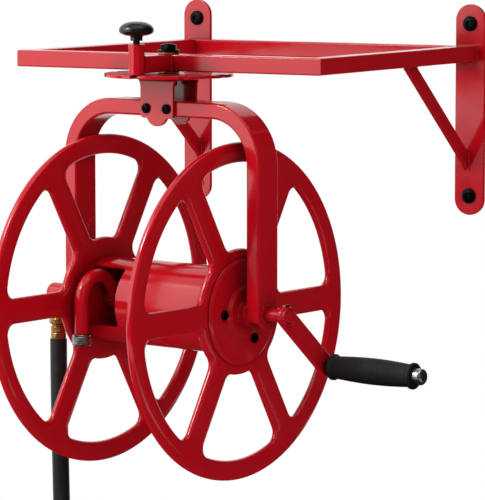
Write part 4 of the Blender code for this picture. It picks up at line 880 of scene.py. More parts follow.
class OBJECT_OT_reel_straps(bpy.types.Operator):
    """Two flat wall straps with half-round ends, the braces under the frame and their welds"""

    bl_idname = "object.reel_straps"
    bl_label = "Straps and braces"

    def execute(self, context):
        s = context.scene.reel_bracket
        runs = []
        for side, label, _ in SIDES:
            wall_strap(label, side, s)
            runs += brace(label, side, s)
        welds("brace_welds", runs, s.weld, BRACKET_AT, "bracket")
        return {"FINISHED"}


class OBJECT_OT_reel_wall_screws(bpy.types.Operator):
    """Round-headed wall screws at the straps' holes"""

    bl_idname = "object.reel_wall_screws"
    bl_label = "Wall screws"

    def execute(self, context):
        s = context.scene.reel_bracket
        screw = socket_head("wall_screw", s.screw_head, 0.0045, 0.0031, s.strap_thick, FACE_FRONT)
        face = -(s.strap_thick + SEAT)
        spots = [(x * s.spacing / 2, face, z) for x in (-1, 1) for z in screw_heights(s)]
        names = ["wall_screw_%d" % k for k in (1, 2, 3, 4)]
        copied_piece("wall_screws_finish", screw, spots, BRACKET_AT, "bracket", names)
        return {"FINISHED"}


# ---- the pivot and its spring plunger ----
def disc_top(b):
    """Top of the index disc, under the front tube and its bush."""
    return -(b.tube + SEAT + PIVOT_FLANGE + RUN)


class OBJECT_OT_reel_plunger(bpy.types.Operator):
    """Spring plunger: coped arm, barrel, bush, pin, spring and mushroom knob"""

    bl_idname = "object.reel_plunger"
    bl_label = "Spring plunger"

    def execute(self, context):
        b = context.scene.reel_bracket
        s = context.scene.reel_pivot
        at = BRACKET_AT @ shift(0.0, -(b.out + s.plunger_out), 0.0)
        self.arm(b, s, at)
        top = s.barrel_top
        hole = s.pin_r + HOLE
        collar = top - PLUNGER_BUSH - 2 * SEAT - s.spring
        foot = collar - PLUNGER_COLLAR
        low = disc_top(b) + RUN + SEAT
        barrel = [(hole, low), (s.barrel_r, low), (s.barrel_r, top), (s.bore, top)]
        barrel += [(s.bore, foot - SEAT), (hole, foot - SEAT)]
        turned_piece("plunger_barrel", barrel, at, "bracket", "red_enamel", soft=0.001)
        rim = s.bore - HOLE
        bush = ring_profile(hole, rim, top - PLUNGER_BUSH, top)
        turned_piece("plunger_bush", bush, at, "bracket", "bright_steel", soft=0.0003)
        neck = top + 0.004
        cap = neck + 0.006
        tang = cap + 0.45 * s.knob_h
        pin = [(0.0, disc_top(b) + SEAT), (s.pin_r, disc_top(b) + SEAT), (s.pin_r, foot)]
        pin += [(rim - 0.001, foot), (rim, foot + 0.001), (rim, collar)]
        pin += [(s.pin_r, collar), (s.pin_r, tang), (0.0, tang)]
        turned_piece("plunger_pin", pin, at, "plunger", "black_fastener")
        self.spring(s, at, collar + SEAT)
        knob = [(hole, neck), (0.0072, neck), (0.0072, neck + 0.0042), (0.0086, cap)]
        # The cap's outline starts under its widest ring, which is at 0.36 of its height
        under = math.radians(62)
        widest = 0.36
        for k in range(24):
            a = (math.pi / 2 + under) * k / 24 - under
            rise = math.sin(a)
            share = widest + (1 - widest) * rise if a >= 0 else widest * (1 + rise / math.sin(under))
            knob.append((s.knob_r * math.cos(a) ** 0.8, cap + s.knob_h * share))
        knob += [(0.0, cap + s.knob_h), (0.0, tang + SEAT), (hole, tang + SEAT)]
        turned_piece("plunger_knob", knob, at, "plunger", "black_plastic", soft=0.0)
        return {"FINISHED"}

    def arm(self, b, s, at):
        """Square tube from the front tube to the barrel, coped round it, with its welds."""
        half = b.tube / 2
        front = -(b.out + half)
        reach = s.plunger_out - half - SEAT - 0.5 * s.barrel_r
        frames = [(Vector((0.0, y, -half)), WAY_X, WAY_Z) for y in (front - SEAT, front - SEAT - reach)]
        section = rounded_box(b.tube, b.tube, b.corner, 5)
        arm = as_object("plunger_arm_finish", mesh_of(add_swept, frames, section), BRACKET_AT)
        cut(arm, mesh_of(add_rod, s.barrel_r + 0.0001, -0.05, 0.05, 64), at)
        finish(arm, "bracket", "red_enamel", sharp=50.0)
        corners = ((half, -WELD_INSET), (half, -b.tube), (-half, -b.tube), (-half, -WELD_INSET))
        loop = [(x, front, z) for x, z in corners]
        welds("plunger_arm_welds", [loop], b.weld * 0.8, BRACKET_AT, "bracket")
        wide = math.asin(0.98)
        rear = arc(s.barrel_r, math.pi / 2 - wide, math.pi / 2 + wide, 12, (0.0, -(b.out + s.plunger_out)))
        welds("plunger_barrel_weld", [[(x, y, 0.0) for x, y in rear]], b.weld * 0.6, BRACKET_AT, "bracket")

    def spring(self, s, at, low):
        """Open coil between the pin's collar and the bush, built at its resting length; a real spring shortens
        as the pin is lifted.
        """
        steps = 24 * s.curls
        rise = s.spring - 2 * s.wire
        points = []
        for k, (u, v) in enumerate(arc((s.pin_r + s.bore) / 2, 0.0, math.tau * s.curls, steps)):
            points.append((u, v, low + s.wire + rise * k / steps))
        made = tube_piece("plunger_spring", points, s.wire, 12, at, "bracket", "bright_steel")
        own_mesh(made)


def disc_sector(s, low):
    """One notch and the plate round it, an even share of the disc."""
    half_notch = s.pin_r + RUN
    part = math.pi / s.notches
    outline = arc(s.disc_r, part, math.asin(half_notch / s.disc_r), 8)
    outline += arc(half_notch, math.pi / 2, 3 * math.pi / 2, 12, (s.plunger_out, 0.0))
    outline += [(u, -v) for u, v in reversed(outline[:9])]
    ring = outline + arc(s.bolt_r + HOLE, -part, part, 8)
    bm = bmesh.new()
    base, roof = ([bm.verts.new((u, v, level)) for u, v in ring] for level in (low, low + s.disc_thick))
    bm.faces.new(base)
    bm.faces.new(roof)
    # The two straight sides stay open, since the next sectors join there
    split = len(outline)
    for first, last in ((0, split), (split, len(ring))):
        bridge(bm, base[first:last], roof[first:last], closed=False)
    bmesh.ops.triangulate(bm, faces=[f for f in bm.faces if len(f.verts) > 4])
    return bm


class OBJECT_OT_reel_pivot(bpy.types.Operator):
    """Index disc with its notches, saddle plate, pivot bolt, washer, nut and bushes"""

    bl_idname = "object.reel_pivot"
    bl_label = "Pivot and saddle"

    def execute(self, context):
        b = context.scene.reel_bracket
        s = context.scene.reel_pivot
        low = disc_top(b) - s.disc_thick
        disc = as_object("index_disc_finish", disc_sector(s, low))
        first = -math.pi / 2 - math.atan2(AXLE_WAY[1], AXLE_WAY[0])
        run_tree(disc, copies_round_axis, count=s.notches, first_turn=first, material=look("red_enamel"))
        disc.data.transform(SWIVEL_AT)
        finish(disc, "yoke", "red_enamel", bevel=0.0006)
        bore = s.bolt_r + HOLE
        body = bore + 0.0018
        wide = 0.0125
        foot = -0.0072
        top = SEAT + PIVOT_FLANGE
        shape = [(bore, foot), (body, foot), (body, SEAT), (wide, SEAT), (wide, top), (bore, top)]
        for label, z, flip in (("upper", 0.0, 0.0), ("lower", -b.tube, math.pi)):
            at = BRACKET_AT @ shift(0.0, -b.out, z) @ Matrix.Rotation(flip, 4, "X")
            turned_piece(label + "_pivot_bush", shape, at, "bracket", "bush_bronze", soft=0.0004)
        self.saddle(s, context.scene.reel_yoke, low - SEAT)
        self.bolt(s, low - SEAT)
        return {"FINISHED"}

    def saddle(self, s, y, web):
        """Bent plate whose front and back carry a round lobe at the foot, with its bolts and nuts."""
        inside = y.deep / 2 + SEAT
        outside = inside + s.saddle_plate
        low = web - s.saddle_side
        deep = low - 0.034
        under = web - s.saddle_plate
        bend = 0.0055
        inner_bend = 0.0015
        outer = arc(bend, 0.0, math.pi / 2, 8, (outside - bend, web - bend))
        hollow = arc(inner_bend, 0.0, math.pi / 2, 4, (inside - inner_bend, under - inner_bend))
        section = outer + [(-v, z) for v, z in reversed(outer)] + [(-outside, deep), (-inside, deep)]
        section += [(-v, z) for v, z in hollow] + hollow[::-1] + [(inside, deep), (outside, deep)]
        half = s.saddle_width / 2
        plate = mesh_of(add_prism, section, -half - 0.009, half + 0.009, YZ_PLANE)
        made = as_object("saddle_finish", plate, SWIVEL_AT)
        # Front view: flared at the web, then straight down to the round lobe
        flare = 0.004
        lobe_r = 0.017
        lobe_z = low + lobe_r - 0.0095
        edge = [(half + flare, web + 0.005), (half + flare, web - 0.002)]
        for t in (k / 6 for k in range(7)):
            edge.append((half + flare * (1 - t) ** 2, web - 0.002 - 0.010 * t))
        edge += [(half, low + 0.004), (half - 0.0012, low + 0.0012), (half - 0.004, low)]
        start = math.asin((low - lobe_z) / lobe_r)
        lobe = arc(lobe_r, start, -math.pi - start, 24, (0.0, lobe_z))
        outline = edge + lobe + [(-x, z) for x, z in reversed(edge)]
        cut(made, mesh_of(add_prism, outline, -2 * outside, 2 * outside, FACE_FRONT), SWIVEL_AT, "INTERSECT")
        finish(made, "yoke", "red_enamel", bevel=0.0006)
        middle = -(y.below + y.thick / 2)
        apart = 0.0155
        bolt = socket_head("saddle_bolt", 0.006, 0.0038, 0.003, 2 * outside + 0.006, FACE_FRONT)
        nut = as_object("saddle_nut", mesh_of(add_nut, 0.010, 0.0, 0.005, 0.0033), FACE_FRONT.inverted())
        for item, kind, face in ((bolt, "bolt", -outside - SEAT), (nut, "nut", outside + SEAT)):
            spots = [(x, face, middle) for x in (-apart, apart)]
            names = [side + "_saddle_" + kind for side in ("left", "right")]
            copied_piece("saddle_%ss_finish" % kind, item, spots, SWIVEL_AT, "yoke", names)

    def bolt(self, s, web):
        """Pivot bolt with one thread groove at the nut's top, its washer and its nut."""
        washer = SEAT + PIVOT_FLANGE + SEAT
        washer_top = washer + 0.0022
        nut_low = washer_top + SEAT
        top = nut_low + 0.0062
        head = web - s.saddle_plate - SEAT
        r = s.bolt_r
        head_r = 0.0098
        shank = [(0.0, head - 0.0065), (head_r - 0.001, head - 0.0065), (head_r, head - 0.0052), (head_r, head)]
        shank += [(r, head), (r, top - 0.0005), (r - 0.0005, top + 0.0001), (r, top + 0.0005)]
        shank += [(r - 0.0009, top + 0.0012), (0.0, top + 0.0012)]
        turned_piece("pivot_bolt", shank, SWIVEL_AT, "yoke", "black_fastener", soft=0.0003)
        plate = ring_profile(r + HOLE, 0.0135, washer, washer_top)
        turned_piece("pivot_washer", plate, SWIVEL_AT, "yoke", "black_fastener", soft=0.0005)
        nut = mesh_of(add_nut, s.nut_flats, nut_low, top, r + HOLE)
        finish(as_object("pivot_nut_finish", nut, SWIVEL_AT), "yoke", "black_fastener", bevel=0.0003)


# ---- the yoke ----
def leg_inside(y):
    """Inner face of a yoke leg, less the gap that a part on it keeps."""
    return y.half - y.thick - SEAT


class OBJECT_OT_reel_yoke(bpy.types.Operator):
    """One rectangular tube bent over the reel, with rounded leg ends and its axle bushes"""

    bl_idname = "object.reel_yoke"
    bl_label = "Yoke"

    def execute(self, context):
        s = context.scene.reel_yoke
        r = context.scene.reel_drum
        leg = s.half - s.thick / 2
        bend = s.bend - s.thick / 2
        low = -(s.drop + s.deep / 2)
        frames = [(Vector((-leg, 0, low)), -WAY_X, WAY_Y)]
        for side, first, last in ((-1, math.pi, math.pi / 2), (1, math.pi / 2, 0.0)):
            centre = Vector((side * (leg - bend), 0, -(s.below + s.thick / 2) - bend))
            for u, w in arc(1.0, first, last, 24):
                out = Vector((u, 0, w))
                frames.append((centre + bend * out, out, WAY_Y))
        frames.append((Vector((leg, 0, low)), WAY_X, WAY_Y))
        outer = rounded_box(s.thick, s.deep, s.corner, 5)
        inner = rounded_box(s.thick - 2 * s.wall, s.deep - 2 * s.wall, 0.0014, 5)
        made = as_object("yoke_finish", mesh_of(add_swept, frames, outer, inner), SWIVEL_AT)
        past = 0.01
        side = s.deep / 2 + past
        outline = [(-side, -s.drop)] + arc(s.deep / 2, math.pi, math.tau, 36, (0.0, -s.drop))
        outline += [(side, -s.drop), (side, low - past), (-side, low - past)]
        cut(made, mesh_of(add_prism, outline, -s.half - past, s.half + past, YZ_PLANE), SWIVEL_AT)
        body = r.pipe + HOLE + AXLE_WALL
        cut(made, mesh_of(add_rod, body + HOLE, -s.half - past, s.half + past, 48, ALONG_X), AXLE_AT)
        finish(made, "yoke", "red_enamel", sharp=40.0)
        face = leg_inside(s)
        wide = s.deep / 2 - 0.0025
        for bore, (_, label, at) in zip((r.pipe + HOLE, context.scene.reel_crank.shaft + HOLE), SIDES):
            shape = [(bore, face - AXLE_FLANGE), (wide, face - AXLE_FLANGE), (wide, face), (body, face)]
            shape += [(body, s.half + SEAT), (bore, s.half + SEAT)]
            node = label + "_axle_bush"
            turned_piece(node, shape, at, "yoke", "bush_bronze", soft=0.0004, coat="bush_painted")
        return {"FINISHED"}


# ---- the reel ----
def half_window(s, steps):
    """Points on half a window's edge, from the rim's middle to the hub's middle, and on its cell's edge."""
    part = math.pi / s.spokes
    across = part + math.pi / 2
    rim_r = s.radius - s.rim
    r = s.corner
    reaches = (rim_r - r, s.hub + r)
    far, near = (part - math.asin((s.spoke / 2 + r) / reach) for reach in reaches)
    far_c, near_c = ((reach * math.cos(a), reach * math.sin(a)) for reach, a in zip(reaches, (far, near)))
    far_mid = (far + across) / 2
    near_mid = (across + near + math.pi) / 2
    window = (
        arc(rim_r, 0.0, far, 40) + arc(r, far, far_mid, 24, far_c)[1:],
        arc(r, far_mid, across, 24, far_c) + arc(r, across, near_mid, 24, near_c),
        arc(r, near_mid, near + math.pi, 24, near_c) + arc(s.hub, near, 0.0, 24)[1:],
    )
    outer = arc(s.radius - RIM_EDGE, 0.0, part, 40)
    inner = arc(s.hub - HUB_LAP, part, 0.0, 40)
    cell = (outer, [outer[-1], inner[0]], inner)
    edge_points, cell_points = [], []
    for run, border, number, power in zip(window, cell, steps, (1.0, 1.5, 1.0)):
        first = 1 if edge_points else 0
        edge_points += even_points(run, number)[first:]
        cell_points += even_points(border, number, power)[first:]
    return edge_points, cell_points


def even_points(run, number, power=1.0):
    """The given number of steps along a run of points, closer at its start with a higher power."""
    run = [Vector(p) for p in run]
    reach = [0.0]
    for a, b in zip(run, run[1:]):
        reach.append(reach[-1] + (b - a).length)
    made = []
    k = 0
    for i in range(number + 1):
        want = reach[-1] * (i / number) ** power
        while k < len(run) - 2 and reach[k + 1] < want:
            k += 1
        span = reach[k + 1] - reach[k]
        share = (want - reach[k]) / span if span > 1e-12 else 0.0
        made.append(run[k].lerp(run[k + 1], min(1.0, share)))
    return made


def distance_to(run, spot):
    """Distance from a spot to a run of points, measured to its segments."""
    near = min(range(len(run)), key=lambda i: (run[i] - spot).length_squared)
    best = (run[near] - spot).length
    for k in (near - 1, near):
        if 0 <= k < len(run) - 1:
            side = run[k + 1] - run[k]
            share = (spot - run[k]).dot(side) / max(side.length_squared, 1e-18)
            if 0.0 < share < 1.0:
                best = min(best, (run[k] + side * share - spot).length)
    return best


def crown(distance, width, edge, full):
    """Height of a rounded edge: a quarter ellipse from the edge to full height."""
    share = max(0.0, 1.0 - distance / width)
    return edge + (full - edge) * math.sqrt(max(0.0, 1.0 - share * share))


def casting_height(s, edge, spot):
    """Half thickness of a flange at a spot, where the crowns of a window's edge and the rim meet."""
    full = s.thick / 2
    gap = distance_to(edge, Vector((spot.x, abs(spot.y))))
    a = crown(gap, 0.0075 + 0.004 * ease((spot.length - s.hub) / 0.016), s.edge / 2, full)
    b = crown(s.radius - RIM_EDGE - spot.length, 0.0095, full - 0.003, full)
    blend = 0.0016
    h = max(0.0, min(1.0, 0.5 + 0.5 * (b - a) / blend))
    soft = b * (1 - h) + a * h - blend * h * (1 - h)
    # Where both crowns reach full height there is nothing to blend
    level = max(0.0, 1.0 - (full - min(a, b)) / 0.0006)
    return soft + (min(a, b) - soft) * level


def flange_cell(s):
    """The part of a flange round one window, lens-shaped across the rim and spokes."""
    steps = (28, 42, HUB_STEPS)
    rows = 14
    full = s.thick / 2
    middle = s.inner + full
    fine_edge, _ = half_window(s, (120, 160, 60))
    edge, cell = (half + [Vector((p.x, -p.y)) for p in reversed(half[1:-1])] for half in half_window(s, steps))
    bm = bmesh.new()
    front, back = [], []
    for j in range(rows + 1):
        share = (1 - math.cos(math.pi * j / rows)) / 2
        spots = [a.lerp(b, share) for a, b in zip(edge, cell)]
        heights = [casting_height(s, fine_edge, spot) for spot in spots]
        for sheet, way in ((front, 1), (back, -1)):
            sheet.append([bm.verts.new((p.x, p.y, middle + way * h)) for p, h in zip(spots, heights)])
    for sheet in (front, back):
        for low, high in zip(sheet, sheet[1:]):
            bridge(bm, low, high)
    # Wall of the window, swelling a little into the opening
    inward = []
    for i in range(len(edge)):
        ahead = edge[(i + 1) % len(edge)] - edge[i - 1]
        inward.append(Vector((-ahead.y, ahead.x)).normalized())
    swell(bm, front[0], back[0], edge, inward, (middle, s.edge / 2), True)
    # Outer edge of the rim, on the cell's border between its two tips
    border = range(-steps[0], steps[0] + 1)
    top, foot = ([row[i] for i in border] for row in (front[-1], back[-1]))
    outward = [cell[i].normalized() for i in border]
    rim = [way * (s.radius - RIM_EDGE) for way in outward]
    swell(bm, top, foot, rim, outward, (middle, full - 0.003), False)
    bmesh.ops.recalc_face_normals(bm, faces=bm.faces)
    return bm


def swell(bm, top, foot, spots, outward, levels, closed):
    """Wall between two rows of points, swelling outward halfway down."""
    middle, half = levels
    last = top
    for a in (math.pi * k / 6 for k in range(1, 6)):
        ring = []
        for spot, way in zip(spots, outward):
            place = spot + way * RIM_EDGE * math.sin(a)
            ring.append(bm.verts.new((place.x, place.y, middle + half * math.cos(a))))
        bridge(bm, last, ring, closed)
        last = ring
    bridge(bm, last, foot, closed)


def flange_hub(s, collar_end, first):
    """Raised hub with the boss and collar that run on the axle, open where it meets the cells."""
    high = s.inner + s.thick
    raised = high + HUB_RAISE
    boss = high + 0.007
    plug = s.inner - 0.004
    foot = s.bolt_ring - 0.007
    step = s.hub - 0.012
    bore = s.pipe + HOLE
    collar = bore + 0.005
    flat = s.hub - HUB_LAP
    shape = [(step + 0.003, high), (step - 0.002, raised), (foot + 0.001, raised), (foot - 0.003, boss)]
    shape += [(collar, boss), (collar, collar_end), (bore, collar_end), (bore, plug)]
    shape += [(DRUM_PLUG_R, plug), (DRUM_PLUG_R, s.inner)]
    around = 2 * HUB_STEPS * s.spokes
    bm = bmesh.new()
    rings = []
    for radius, z in [(flat, high)] + fillet(shape, 0.0012) + [(flat, s.inner)]:
        spots = arc(radius, first, first + math.tau, around)[:-1]
        rings.append([bm.verts.new((u, v, z)) for u, v in spots])
    for low, up in zip(rings, rings[1:]):
        bridge(bm, low, up)
    return bm


class OBJECT_OT_reel_flanges(bpy.types.Operator):
    """Cast flanges with lens-shaped spokes, raised hubs and their hub bolts"""

    bl_idname = "object.reel_flanges"
    bl_label = "Flanges"

    def execute(self, context):
        s = context.scene.reel_drum
        cells = as_object("flange_cells", flange_cell(s))
        first = math.pi / s.spokes + math.pi / 2
        run_tree(cells, copies_round_axis, count=s.spokes, first_turn=first, material=look("red_cast"))
        collar_end = leg_inside(context.scene.reel_yoke) - AXLE_FLANGE - RUN
        hub = as_object("flange_hub", flange_hub(s, collar_end, first))
        seat = shift(s.bolt_ring, 0.0, s.inner + s.thick + HUB_RAISE + SEAT)
        # One of the three bolts stands 60 degrees past the top, seen along each side's axis
        turn = math.pi / 2 + math.radians(60)
        for _, label, at in SIDES:
            bm = bmesh.new()
            bm.from_mesh(cells.data)
            bm.from_mesh(hub.data)
            bmesh.ops.remove_doubles(bm, verts=bm.verts, dist=0.00002)
            finish(as_object(label + "_flange_finish", bm, at), "reel", "red_cast", sharp=60.0)
            screw = socket_head(label + "_hub_bolts_finish", 0.0058, 0.0035, 0.003, 0.010, seat)
            run_tree(screw, copies_round_axis, count=3, first_turn=turn, material=look("black_fastener"))
            screw.data.transform(at)
            finish(screw, "reel", "black_fastener", ["%s_hub_bolt_%d" % (label, k) for k in (1, 2, 3)])
        for spare in (cells, hub):
            bpy.data.objects.remove(spare, do_unlink=True)
        return {"FINISHED"}


class OBJECT_OT_reel_drum(bpy.types.Operator):
    """Winding drum with its window, axle pipe, gooseneck and threaded outlet"""

    bl_idname = "object.reel_drum"
    bl_label = "Drum and gooseneck"

    def execute(self, context):
        s = context.scene.reel_drum
        y = context.scene.reel_yoke
        end = s.inner - SEAT
        within = end - DRUM_END
        wall = s.drum - s.drum_wall
        hole = DRUM_PLUG_R + SEAT
        shape = [(hole, -end), (s.drum, -end), (s.drum, end), (hole, end)]
        shape += [(hole, within), (wall, within), (wall, -within), (hole, -within)]
        shell = mesh_of(add_turned, fillet(shape, 0.0006), 144, ALONG_X)
        drum = as_object("drum_finish", shell, AXLE_AT)
        cut(drum, mesh_of(self.add_window, s, -within, wall), AXLE_AT)
        finish(drum, "reel", "red_enamel", bevel=0.0007)
        left = -(y.half + 2 * SEAT + INLET_CUP - RUN)
        pipe = ring_profile(s.pipe - 0.002, s.pipe, left, leg_inside(y) - AXLE_FLANGE - RUN)
        turned_piece("axle_pipe", pipe, AXLE_AT @ ALONG_X, "reel", "red_enamel", soft=0.0005)
        self.gooseneck(s, -s.inner + 0.015)
        return {"FINISHED"}

    def add_window(self, bm, s, low, wall):
        """Cutter for the opening at the drum's left, rounded at its right corners."""
        high = low + s.window
        corner = 0.008
        # From 33 degrees under the front to 58 degrees over it
        middle = math.radians((58.0 - 33.0) / 2)
        half = math.radians((58.0 + 33.0) / 2)
        number = 49
        spans = [-half + 2 * half * i / (number - 1) for i in range(number)]
        loop = [(low + 0.00002, t) for t in spans]
        for t in reversed(spans):
            left = max(0.0, corner - (half - abs(t)) * s.drum)
            loop.append((high - corner + math.sqrt(max(0.0, corner**2 - left**2)), t))
        shells = []
        for reach in (wall - 0.006, s.drum + 0.004):
            spots = [(x, -reach * math.cos(middle + t), reach * math.sin(middle + t)) for x, t in loop]
            shells.append([bm.verts.new(spot) for spot in spots])
        bridge(bm, *shells)
        for shell in shells:
            bridge(bm, shell[:number], shell[: number - 1 : -1], closed=False)

    def gooseneck(self, s, x):
        """Pipe that leaves the axle, turns over and comes forward to the outlet, with its weld."""
        lift = 0.002
        turn_y = -GOOSE_ROOT - s.goose_bend
        outlet_y = turn_y - s.goose_bend
        path = [(x, -GOOSE_ROOT, GOOSE_ROOT)]
        path += [(x, u, v) for u, v in arc(s.goose_bend, 0.0, math.pi, 32, (turn_y, lift))]
        path += [(x, outlet_y, lift - 0.038 * i / 4) for i in range(1, 5)]
        tube_piece("gooseneck", path, s.goose, 40, AXLE_AT, "reel", "red_enamel")
        ring = []
        for u, v in arc(s.goose, 0.0, math.tau, 24):
            ring.append((x + u, v - GOOSE_ROOT, math.sqrt(max(0.0, s.pipe**2 - (v - GOOSE_ROOT) ** 2))))
        welds("gooseneck_weld", [ring], 0.0012, AXLE_AT, "reel")
        top = -0.0363
        bore = s.goose - 0.0018
        r = s.nipple
        thread = [(bore, top - 0.013), (r - 0.0012, top - 0.013)]
        for z in (top - 0.0121 + 0.0026 * k for k in range(4)):
            thread += [(r - 0.001, z), (r, z + 0.0009), (r, z + 0.0013), (r - 0.001, z + 0.0022)]
        thread += [(r - 0.0006, top - 0.0006), (r - 0.0012, top), (bore, top)]
        at = AXLE_AT @ shift(x, outlet_y, 0.0)
        turned_piece("outlet_nipple", thread, at, "reel", "bright_steel", soft=0.0)


# ---- the crank ----
class OBJECT_OT_reel_crank(bpy.types.Operator):
    """Crank arm with its hub and set screw, the shaft, the grip and its spindle"""

    bl_idname = "object.reel_crank"
    bl_label = "Crank and grip"

    def execute(self, context):
        s = context.scene.reel_crank
        at = AXLE_AT @ ALONG_X
        arm_x = (AXLE_AT.inverted() @ GRIP_AT.translation).x
        arm_end = arm_x + s.thick
        hub_end = arm_x + s.hub
        pin = (s.reach * math.cos(s.turn), s.reach * math.sin(s.turn))
        outline = slot_outline((0.0, 0.0), pin, s.end, 28)
        arm = as_object("crank_arm_finish", mesh_of(add_prism, outline, arm_x, arm_end, YZ_PLANE), AXLE_AT)
        holes = bmesh.new()
        for radius, sides, place in ((s.shaft, 48, (0.0, 0.0)), (SPINDLE_R, 32, pin)):
            add_rod(holes, radius + HOLE, arm_x - 0.005, hub_end + 0.005, sides, shift(0.0, *place) @ ALONG_X)
        cut(arm, holes, AXLE_AT)
        finish(arm, "reel", "red_enamel", bevel=0.0012, segments=3)
        hub_r = s.end - 0.0013
        hub = ring_profile(s.shaft + HOLE, hub_r, arm_end - 0.0005, hub_end)
        turned_piece("crank_hub", hub, at, "reel", "red_enamel", soft=0.0012, nodes=[])
        bead = [(arm_end, u, v) for u, v in arc(hub_r + 0.0002, 0.0, math.tau, 40)]
        welds("crank_hub_weld", [bead], 0.0009, AXLE_AT, "reel")
        shaft = ring_profile(0.0, s.shaft, context.scene.reel_drum.inner - 0.03, hub_end - 0.0005)
        turned_piece("crank_shaft", shaft, at, "reel", "red_enamel", soft=0.0012)
        screw_r = 0.0023
        screw = fillet(ring_profile(0.0, screw_r, 0.009, s.end + 0.0012), 0.0004)
        place = AXLE_AT @ shift(hub_end - screw_r - HOLE - 0.0008, 0.0, 0.0)
        finish(as_object("set_screw_finish", mesh_of(add_turned, screw, 24), place), "reel", "black_fastener")
        self.grip(s)
        return {"FINISHED"}

    def grip(self, s):
        """Grip between its collars, on a spindle that is riveted in the arm, with a spacer."""
        at = GRIP_AT @ ALONG_X
        spacer = s.thick + SEAT
        spacer_end = spacer + 0.006
        low = spacer_end + RUN
        high = low + s.grip
        head = high + RUN
        bore = SPINDLE_R + HOLE
        shoulder = head + 0.0078
        crest = head + 0.0125
        rivet_r = 0.0068
        shape = [(0.0, -0.0028), (0.0045, -0.0028), (rivet_r, -0.0012), (rivet_r, -SEAT), (SPINDLE_R, -SEAT)]
        shape += [(SPINDLE_R, head), (s.head, head), (s.head, shoulder)]
        shape += dome(s.head, 0.45 * s.head, shoulder, crest, 8) + [(0.0, crest)]
        turned_piece("grip_spindle", shape, at, "reel", "bright_steel", soft=0.0004)
        ring = ring_profile(bore, 0.0085, spacer, spacer_end)
        turned_piece("grip_spacer", ring, at, "reel", "black_fastener")
        collar = 0.005
        collar_r = 0.0156
        edge = 0.0012
        round_off = 0.0014
        body = [(bore, low), (collar_r - edge, low), (collar_r, low + round_off)]
        body += [(collar_r, low + collar - round_off), (collar_r - edge, low + collar)]
        start = low + collar + edge
        run = s.grip - 2 * (collar + edge)
        body.append((s.grip_end, start))
        # Shallow moulded rings, 0.35 mm deep and 4.5 mm apart, give the hand its hold
        for t in (k / 96 for k in range(1, 96)):
            swelling = s.grip_end + (s.grip_belly - s.grip_end) * math.sin(math.pi * t)
            ripple = 0.00018 * (math.cos(math.tau * t * run / 0.0045) - 1)
            body.append((swelling + ripple, start + run * t))
        body += [(s.grip_end, high - collar - edge), (collar_r - edge, high - collar)]
        body += [(collar_r, high - collar + round_off), (collar_r, high - round_off)]
        body += [(collar_r - edge, high), (bore, high)]
        turned_piece("grip", body, at, "grip", "black_plastic", soft=0.0, coat="grip_rubber")


# ---- the inlet and the leader hose ----
class HoseRoute:
    """Middle line of the hose from the coupling to its far end, in the yoke's frame."""

    def __init__(self, y, s, top):
        self.s = s
        low = top - s.free
        x = -(y.half + s.out)
        side = x + s.drift
        self.centre = Vector((side + s.coil, 0.0, low - SEAT - 2 * s.radius - 0.0035))
        self.full = math.tau * s.turns
        self.points = []
        for share in (k / 30 for k in range(31)):
            t = ease((share * s.free - 2 * s.radius) / (s.free - 4 * s.radius))
            self.points.append(Vector((x + s.drift * t, 0.0, top - s.free * share)))
        for k in range(4):
            self.points.append(Vector((side, 0.0, low + (self.centre.z - low) * (k + 0.5) / 4)))
        steps = round(60 * s.turns)
        self.points += [self.coil(self.full * k / steps) for k in range(steps + 1)]
        self.heading = (self.points[-1] - self.coil(self.full - 0.02)).normalized()
        self.points.append(self.points[-1] + self.heading * 2.2 * s.radius)

    def coil(self, t):
        """Point of the coil at that turn; its last part tucks in beside the turn before."""
        tuck = ease((t - self.full + 1.9) / 1.9)
        radius = self.s.coil - 0.012 * tuck
        lead = t * t if t < 0.5 else t - 0.25
        y = self.s.pitch * lead / math.tau + (0.0145 - self.s.radius) * tuck
        return self.centre + Vector((radius * math.cos(math.pi + t), y, radius * math.sin(math.pi + t)))


